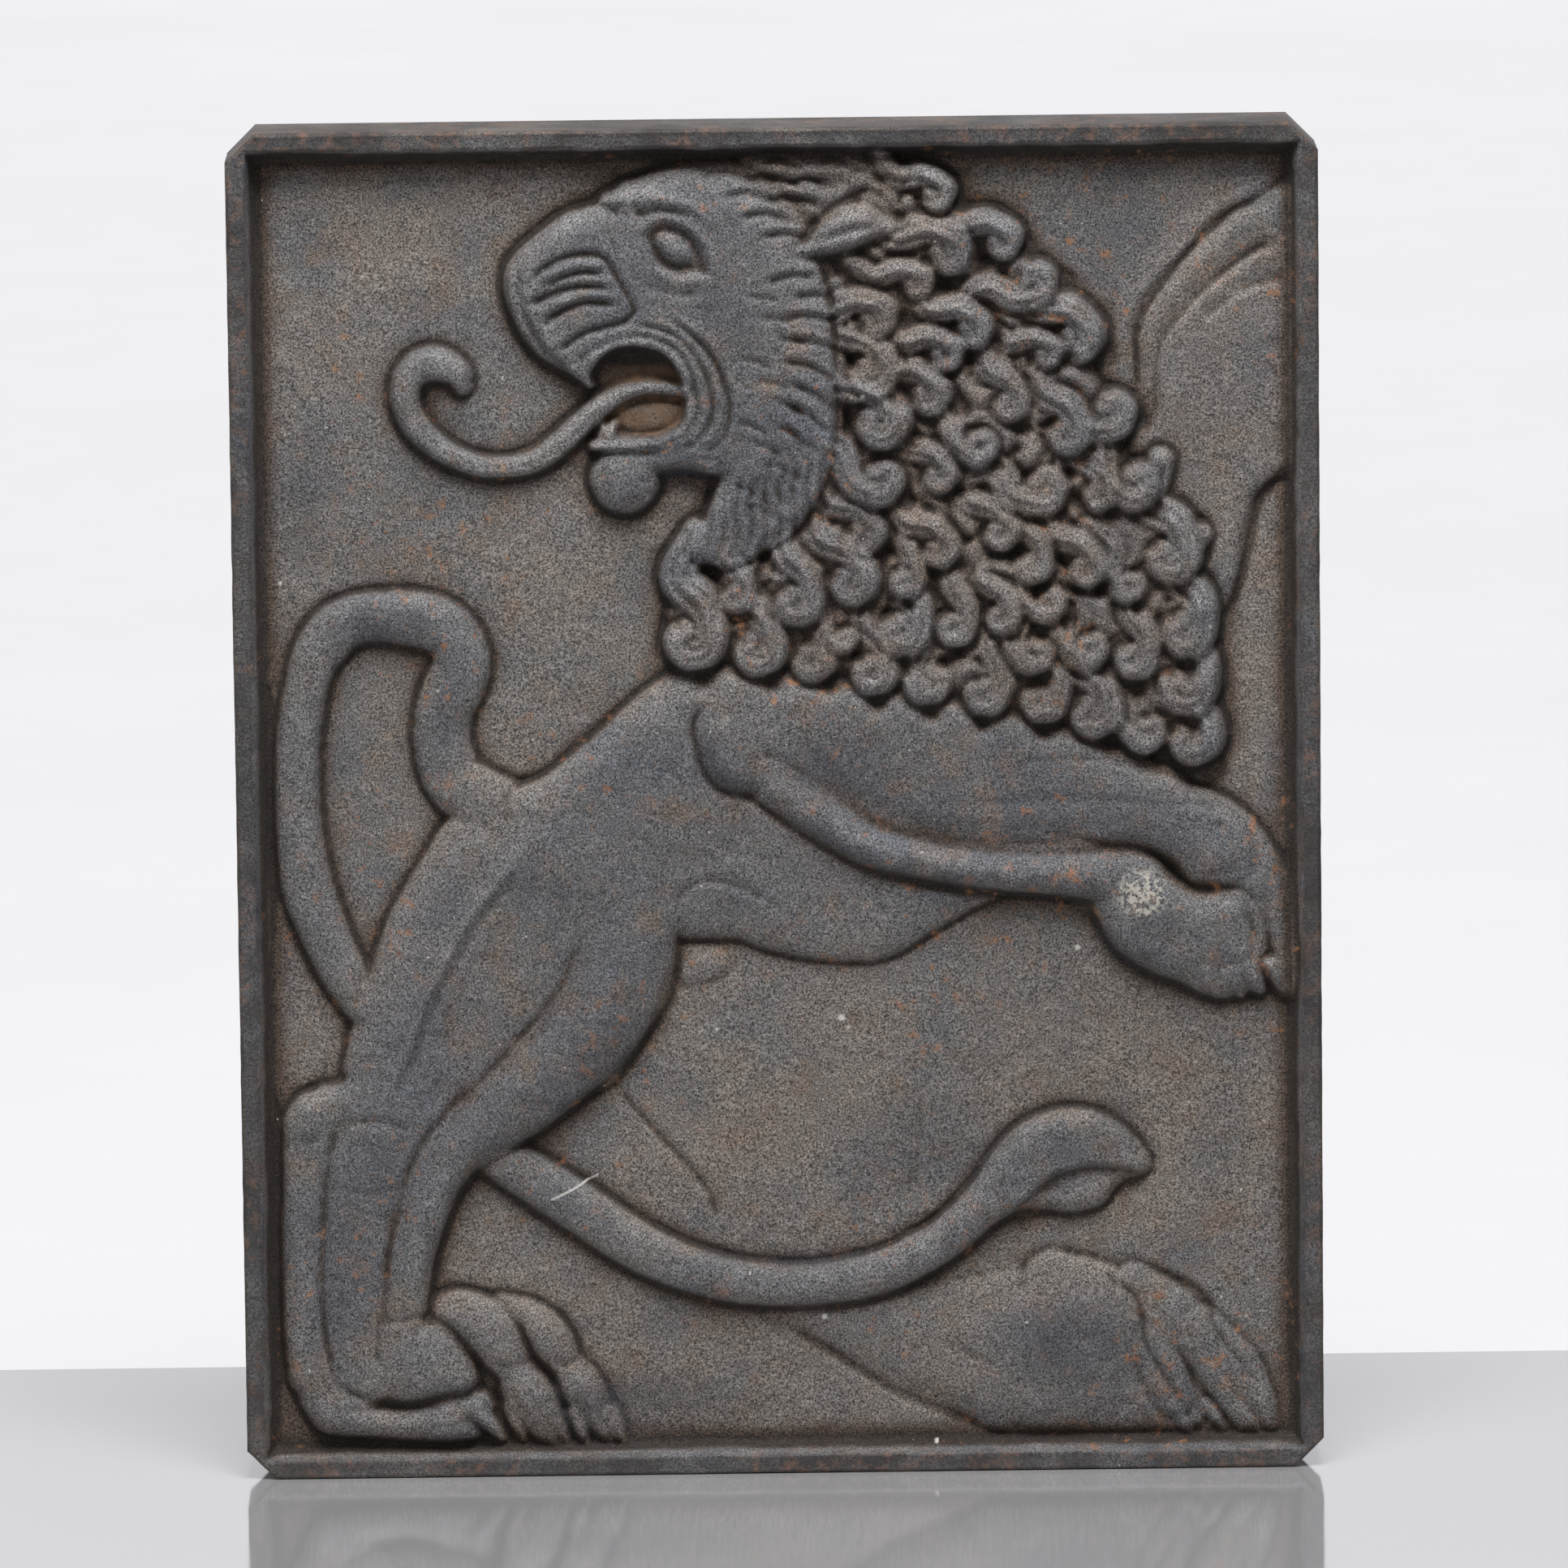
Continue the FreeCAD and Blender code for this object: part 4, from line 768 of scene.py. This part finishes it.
def rim_and_skirt():
    """Rounded front edge, sides, back of the rim and the walls of the hollow."""
    turns = [k * math.pi / 10 for k in range(6)]
    profile = [(EDGE_ROUND * (1 - math.sin(t)), LIP + EDGE_ROUND * (1 - math.cos(t))) for t in turns]
    profile += [(0, LIP + share * DEPTH) for share in (0.15, 0.3, 0.45, 0.6, 0.75, 0.9)]
    dented = len(profile)
    soft = 0.8
    profile += [(0, BACK - soft), (0.3 * soft, BACK - 0.3 * soft), (soft, BACK), (SKIRT - soft, BACK),
                (SKIRT - 0.3 * soft, BACK - 0.3 * soft), (SKIRT, BACK - soft), (SKIRT, PLATE_BACK + 2),
                (SKIRT + 0.6, PLATE_BACK + 0.6), (SKIRT + 2, PLATE_BACK)]
    loops = np.array([outline_loop(edge, level) for edge, level in profile])
    dents = rng.uniform(0, DEEPEST_DENT, loops.shape[:2])
    dents[0] = 0
    middle = np.array([0, 0, TALL / 2])
    inward = middle - loops * np.array([1, 0, 1])
    inward /= np.linalg.norm(inward, axis=2, keepdims=True)
    loops[:dented] += (inward * dents[..., None])[:dented]
    verts = (loops * MM).reshape(-1, 3)
    return mesh_piece("rim_and_skirt", verts.tolist(), ring_faces(*loops.shape[:2]).tolist())


PAD_MARGIN, PAD_DRAFT = 4.0, 1.6
BACK_STEP, BACK_WAVES = 2.0, 0.12


def back_plate():
    """Back of the plate with the cast pad under the strap."""
    edge = SKIRT + 2
    x, z = np.meshgrid(even_steps(edge, WIDE - edge, BACK_STEP), even_steps(edge, TALL - edge, BACK_STEP),
                       indexing="ij")
    pad_low, pad_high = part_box("hanger_saddle")
    gap = np.maximum(np.abs(x - WIDE / 2) - pad_high.x / MM,
                     np.maximum(pad_low.z / MM - z, z - pad_high.z / MM)) - PAD_MARGIN
    rise = pad_low.y / MM - PLATE_BACK
    pad = rise * np.clip(1 - gap / PAD_DRAFT, 0, 1)
    waves = rng.uniform(-BACK_WAVES, BACK_WAVES, x.shape) * (gap > PAD_DRAFT)
    waves[[0, -1], :] = 0
    waves[:, [0, -1]] = 0
    x, z, moved = cut_corners(x, z, edge)
    verts = np.stack([x - WIDE / 2, PLATE_BACK + pad + waves, z], -1).reshape(-1, 3) * MM
    faces = grid_faces(*x.shape)
    faces = faces[~moved.ravel()[faces].all(1)][:, ::-1]
    return mesh_piece("back_plate", verts.tolist(), faces.tolist())


# Screws: the strap under the head, and shares of the head's radius and height.
STRAP = 1.5
SHANK, RECESS_REACH, RECESS_HALF = 0.59, 0.62, 0.13
HEAD_WALL, RECESS_FROM, RECESS_DEPTH = 0.3, 0.5, 0.4
SCREW_SIDES, DOME_RINGS = 64, 18


def screw(name, centre_z):
    """Pan head screw with a crossed recess, seated on the strap."""
    low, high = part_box("saddle_screws")
    radius = high.x
    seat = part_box("hanger_saddle")[0].y + STRAP * MM
    head = high.y - seat
    rings = [(SHANK * radius, low.y), (SHANK * radius, seat), (radius, seat), (radius, seat + HEAD_WALL * head)]
    rings += [(radius * math.cos(t), seat + head * (HEAD_WALL + (1 - HEAD_WALL) * math.sin(t)))
              for t in np.linspace(0.1, 0.46 * math.pi, DOME_RINGS)]
    verts = []
    for reach, level in rings:
        for turn in 2 * math.pi * np.arange(SCREW_SIDES) / SCREW_SIDES:
            x, z = reach * math.cos(turn), reach * math.sin(turn)
            crossed = min(abs(x), abs(z)) < RECESS_HALF * radius and reach < RECESS_REACH * radius
            slot = crossed and level > seat + RECESS_FROM * head
            verts.append((x, level - RECESS_DEPTH * head * slot, centre_z + z))
    faces = np.roll(ring_faces(len(rings), SCREW_SIDES), -1, 1).tolist()
    faces += [range(len(verts))[:-SCREW_SIDES - 1:-1], range(SCREW_SIDES)]
    return mesh_piece(name, verts, faces, False)


# Materials.
class Shader:
    """Small helper around one node material."""

    def __init__(self, name):
        self.material = bpy.data.materials.new(name)
        self.material.use_nodes = True
        self.tree = self.material.node_tree
        self.surface = self.tree.nodes["Principled BSDF"]
        self.place = self.add("TexCoord", "Object", {})

    def link(self, source, socket):
        if isinstance(source, (int, float)):
            socket.default_value = source
        elif isinstance(source, tuple):
            socket.default_value = (*source, 1.0)
        else:
            self.tree.links.new(source, socket)

    def feed(self, **sources):
        """Feeds sockets of the surface, whose spaces are written as underscores."""
        for name, source in sources.items():
            self.link(source, self.surface.inputs[name.replace("_", " ")])

    def add(self, kind, output, sources, **settings):
        """Adds a node, feeds its sockets and returns one of its outputs."""
        made = self.tree.nodes.new("ShaderNode" + kind)
        for key, value in settings.items():
            setattr(made, key, value)
        for socket, source in sources.items():
            self.link(source, made.inputs[socket])
        return made.outputs[output]

    def noise(self, scale, detail=3.0, roughness=0.55):
        return self.add("TexNoise", "Fac", {"Vector": self.place, "Scale": scale, "Detail": detail,
                                            "Roughness": roughness})

    def value(self, name):
        return self.add("Attribute", "Fac", {}, attribute_name=name)

    def spread(self, source, low, high, to_low=0.0, to_high=1.0):
        return self.add("MapRange", "Result", dict(enumerate((source, low, high, to_low, to_high))))

    def times(self, first, second):
        return self.add("Math", 0, {0: first, 1: second}, operation="MULTIPLY")

    def patchy(self, name, texture, *spread):
        """A named value, broken up by a texture."""
        return self.times(self.value(name), self.spread(texture, *spread))

    def mix(self, share, first, second, kind="MIX"):
        return self.add("Mix", 2, {0: share, 6: first, 7: second}, data_type="RGBA", blend_type=kind)

    def coats(self, base, *layers):
        """Lays coats of a share and a colour over a base, one after another."""
        for share, colour in layers:
            base = self.mix(share, base, colour)
        return base

    def bump(self, source, strength, distance, **below):
        return self.add("Bump", "Normal", {"Height": source, "Strength": strength, "Distance": distance, **below})


BROWN_GROUND, GREY_GROUND = (0.146, 0.124, 0.106), (0.122, 0.116, 0.112)
BLUE_FORM, GREY_FORM = (0.072, 0.075, 0.086), (0.124, 0.117, 0.112)
BLUE_BLACKS = (0.06, 0.065, 0.078), (0.046, 0.05, 0.062), (0.066, 0.067, 0.072), (0.034, 0.037, 0.047)
# The dark brown of the hollows is partly dirt and partly painted shade.
BROWN_FILM, MANE_FILM, HOLLOW_DIRT_AND_SHADE = (0.13, 0.09, 0.062), (0.108, 0.08, 0.06), (0.062, 0.039, 0.026)
# The near black of creases is painted shade, partly dirt; the rim's near black is painted shade.
CREASE_SHADE, RIM_SHADE, RUBBED = (0.012, 0.009, 0.007), (0.019, 0.016, 0.015), (0.17, 0.168, 0.17)
RUST, EDGE_RUST, DUST = (0.29, 0.125, 0.052), (0.16, 0.083, 0.052), (0.15, 0.088, 0.048)
GRIT, PALE_PAINT, BARE = (0.5, 0.47, 0.43), (0.52, 0.5, 0.47), (0.46, 0.43, 0.37)


def iron_material():
    """Blackened iron: mottling, then dirt, wear and painted shade by the front's values, grain, rust, and painted
    shade on the rim.
    """
    s = Shader("worn_iron")
    ground = s.mix(s.spread(s.noise(14, 5), 0.38, 0.62), BROWN_GROUND, GREY_GROUND)
    raised = s.mix(s.spread(s.noise(24, 5), 0.4, 0.6), BLUE_FORM, GREY_FORM)
    # Hollows darkened by the cavity value: partly dirt, partly painted shade where the hollows lie in shadow.
    hollow_dirt_and_shade = s.patchy("cavity", s.noise(60, 3), 0.2, 0.6, 0.6, 1.0)
    crown = s.patchy("crown", s.noise(130, 4), 0.35, 0.65)
    base = s.coats(
        ground,
        (s.spread(s.value("rise"), 0.2, 0.75, 0.0, 0.9), raised),
        (s.spread(s.noise(28, 5), 0.52, 0.7, 0.0, 0.6), BLUE_BLACKS[0]),
        (s.patchy("rise", s.noise(12, 4), 0.47, 0.6, 0.0, 0.62), BLUE_BLACKS[1]),
        (s.spread(s.noise(6.5, 4), 0.5, 0.66, 0.0, 0.42), BLUE_BLACKS[2]),
        (s.spread(s.noise(75, 6, 0.65), 0.52, 0.68, 0.0, 0.6), BROWN_FILM),
        (s.patchy("mane", s.noise(36, 4), 0.35, 0.6, 0.15, 0.6), MANE_FILM),
        (s.spread(hollow_dirt_and_shade, 0.08, 0.6, 0.0, 0.85), HOLLOW_DIRT_AND_SHADE),
        # Near black painted shade in creases, under forms, along the rim gaps and in the throat.
        (s.spread(s.value("crease_shade"), 0.15, 0.95, 0.0, 0.94), CREASE_SHADE),
        (s.spread(crown, 0.05, 0.8, 0.0, 0.5), RUBBED),
        (s.patchy("smudge", s.noise(42, 5), 0.36, 0.6, 0.315, 0.9), BLUE_BLACKS[3]))
    grain = s.noise(1900, 3, 0.75)
    coarse = s.noise(1050, 4, 0.7)
    base = s.mix(1.0, base, s.spread(grain, 0.37, 0.63, 0.0, 2.15), "MULTIPLY")
    base = s.mix(1.0, base, s.spread(coarse, 0.34, 0.66, 0.66, 1.34), "MULTIPLY")
    rusty = s.spread(s.noise(15, 3), 0.5, 0.58, 0.0, 0.75)
    edges = s.patchy("rim_shade_and_rust", s.noise(26, 3), 0.46, 0.56, 0.0, 0.6)
    worn = s.patchy("worn", s.noise(650, 4), 0.42, 0.58)
    base = s.coats(
        base,
        (s.times(rusty, s.spread(s.noise(210, 6, 0.7), 0.58, 0.67)), RUST),
        (s.patchy("mouth", s.noise(260, 5, 0.65), 0.34, 0.62, 0.25, 1.0), DUST),
        (s.spread(s.noise(620, 1), 0.8, 0.82), GRIT),
        (s.spread(s.value("speck"), 0.3, 0.9), PALE_PAINT),
        (s.spread(worn, 0.2, 0.6, 0.0, 0.75), BARE),
        # Painted shade darkening the rim.
        (s.patchy("rim_shade_and_rust", s.noise(48, 5), 0.35, 0.65, 0.5, 0.95), RIM_SHADE),
        (s.times(edges, s.spread(s.noise(260, 6, 0.7), 0.5, 0.62)), EDGE_RUST))
    dull = s.spread(s.value("cavity"), 0.0, 0.6, 0.0, 0.3)
    rough = s.add("Math", 0, {0: s.spread(s.noise(70, 4), 0.3, 0.7, 0.42, 0.58), 1: dull}, operation="ADD")
    pits = s.bump(coarse, 0.6, 0.0007)
    s.feed(Base_Color=base, Metallic=0.2, Specular_IOR_Level=0.5, Roughness=rough,
           Normal=s.bump(grain, 0.7, 0.0005, Normal=pits))
    return s.material


STEEL_SPOTS = (0.17, 0.09, 0.05)


def steel_material(name, colour, rough):
    """Dull zinc with a few brown spots."""
    s = Shader(name)
    base = s.mix(s.spread(s.noise(160, 4), 0.35, 0.65), colour, tuple(0.72 * c for c in colour))
    base = s.mix(s.spread(s.noise(500, 4), 0.62, 0.74, 0.0, 0.8), base, STEEL_SPOTS)
    s.feed(Base_Color=base, Metallic=0.9, Roughness=s.spread(s.noise(260, 4), 0.3, 0.7, rough, rough + 0.2),
           Normal=s.bump(s.noise(900, 3), 0.25, 0.0002))
    return s.material


def stage_material(name, colour, rough, mirror=0.0, glow=0.0):
    s = Shader(name)
    base = s.mix(s.spread(s.noise(3, 3), 0.3, 0.7), colour, tuple(0.97 * c for c in colour))
    s.feed(Base_Color=base, Roughness=s.spread(s.noise(30, 3), 0.3, 0.7, rough, rough + 0.04), Metallic=mirror,
           Emission_Color=base, Emission_Strength=glow)
    return s.material


iron = iron_material()
front = relief_front()
rim = rim_and_skirt()
# The whole rim and skirt carry the rim's painted shade and edge rust.
add_values(rim, "rim_shade_and_rust", np.ones(len(rim.data.vertices)))
plate = back_plate()
for piece in (front, rim, plate):
    piece.data.materials.append(iron)
    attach(piece, "plaque")
    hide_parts("plaque_casting")

screw_low, screw_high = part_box("saddle_screws")
screw_reach = screw_high.x
screw_steel = steel_material("screw_steel", (0.38, 0.37, 0.36), 0.32)
for name, centre in (("screw_upper", screw_high.z - screw_reach), ("screw_lower", screw_low.z + screw_reach)):
    piece = screw(name, centre)
    piece.data.materials.append(screw_steel)
    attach(piece, "plaque")
    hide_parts("saddle_screws")

for node, colour, rough in (("hanger_saddle", (0.42, 0.41, 0.4), 0.34), ("hanging_ring", (0.46, 0.45, 0.44), 0.28)):
    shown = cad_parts[node]
    shown.data.materials.clear()
    shown.data.materials.append(steel_material(node + "_steel", colour, rough))

# Stage: a pale table, and behind it a pale sheet that runs far back and then rises, clear of every view.
TABLE_REST = 0.14
STAGE_REACH = 6.0


def stage_plane(name, start, end, material):
    """Plane across the stage between two edges of y and z."""
    corners = [(-STAGE_REACH, *start), (STAGE_REACH, *start), (STAGE_REACH, *end), (-STAGE_REACH, *end)]
    piece = mesh_piece(name, corners, [(0, 1, 2, 3)], False)
    piece.data.materials.append(material)


table = stage_material("pale_table", (0.57, 0.57, 0.582), 0.07, 0.62)
sheet = stage_material("pale_sheet", (0.07, 0.0697, 0.0717), 0.6, 0.0, 11.0)
table_end = (BACK * MM + TABLE_REST, 0)
stage_plane("table", (-STAGE_REACH, 0), table_end, table)
stage_plane("sheet_floor", table_end, (STAGE_REACH, 0), sheet)
stage_plane("sheet_wall", (STAGE_REACH, 0), (STAGE_REACH, STAGE_REACH), sheet)


# Light: a wide soft panel above and in front, and a weaker one from the left.
def panel(name, place, aim, width, power):
    light = bpy.data.lights.new(name, "AREA")
    light.shape = "SQUARE"
    light.size = width
    light.energy = power
    lamp = bpy.data.objects.new(name, light)
    lamp.location = place
    lamp.rotation_euler = (Vector(aim) - Vector(place)).to_track_quat("-Z", "Y").to_euler()
    bpy.context.scene.collection.objects.link(lamp)


panel("overhead", (0.05, -0.62, 1.7), (0, 0, 0.2), 0.7, 50)
panel("left_fill", (-1.5, -1.6, 0.8), (0, 0, 0.2), 1.2, 6)

world = bpy.data.worlds.new("studio")
world.use_nodes = True
sky = world.node_tree.nodes["Background"].inputs
sky["Color"].default_value = (0.93, 0.93, 0.96, 1.0)
sky["Strength"].default_value = 0.24
bpy.context.scene.world = world
bpy.context.scene.view_settings.view_transform = "Standard"

# Camera: a long lens about four metres away, a little above the plaque.
CAMERA_AZIMUTH = math.radians(-0.39)
CAMERA_ELEVATION = math.radians(9.36)
CAMERA_ROLL = math.radians(-0.64)
CAMERA_DISTANCE = 4.0
CAMERA_LENS = 311.6
CAMERA_SENSOR = 36
CAMERA_SHIFT = (0.0034, 0.0141)
CAMERA_CLIP = 50
aim = Vector((0, LIP * MM, TALL * MM / 2))
camera = bpy.data.objects.new("camera", bpy.data.cameras.new("camera"))
camera.matrix_world = (
    Matrix.Translation(aim) @ Matrix.Rotation(CAMERA_AZIMUTH, 4, "Z")
    @ Matrix.Rotation(math.pi / 2 - CAMERA_ELEVATION, 4, "X") @ Matrix.Rotation(CAMERA_ROLL, 4, "Z")
    @ Matrix.Translation((0, 0, CAMERA_DISTANCE)))
camera.data.sensor_width = CAMERA_SENSOR
camera.data.lens = CAMERA_LENS
camera.data.shift_x, camera.data.shift_y = CAMERA_SHIFT
camera.data.clip_end = CAMERA_CLIP
bpy.context.scene.collection.objects.link(camera)
bpy.context.scene.camera = camera
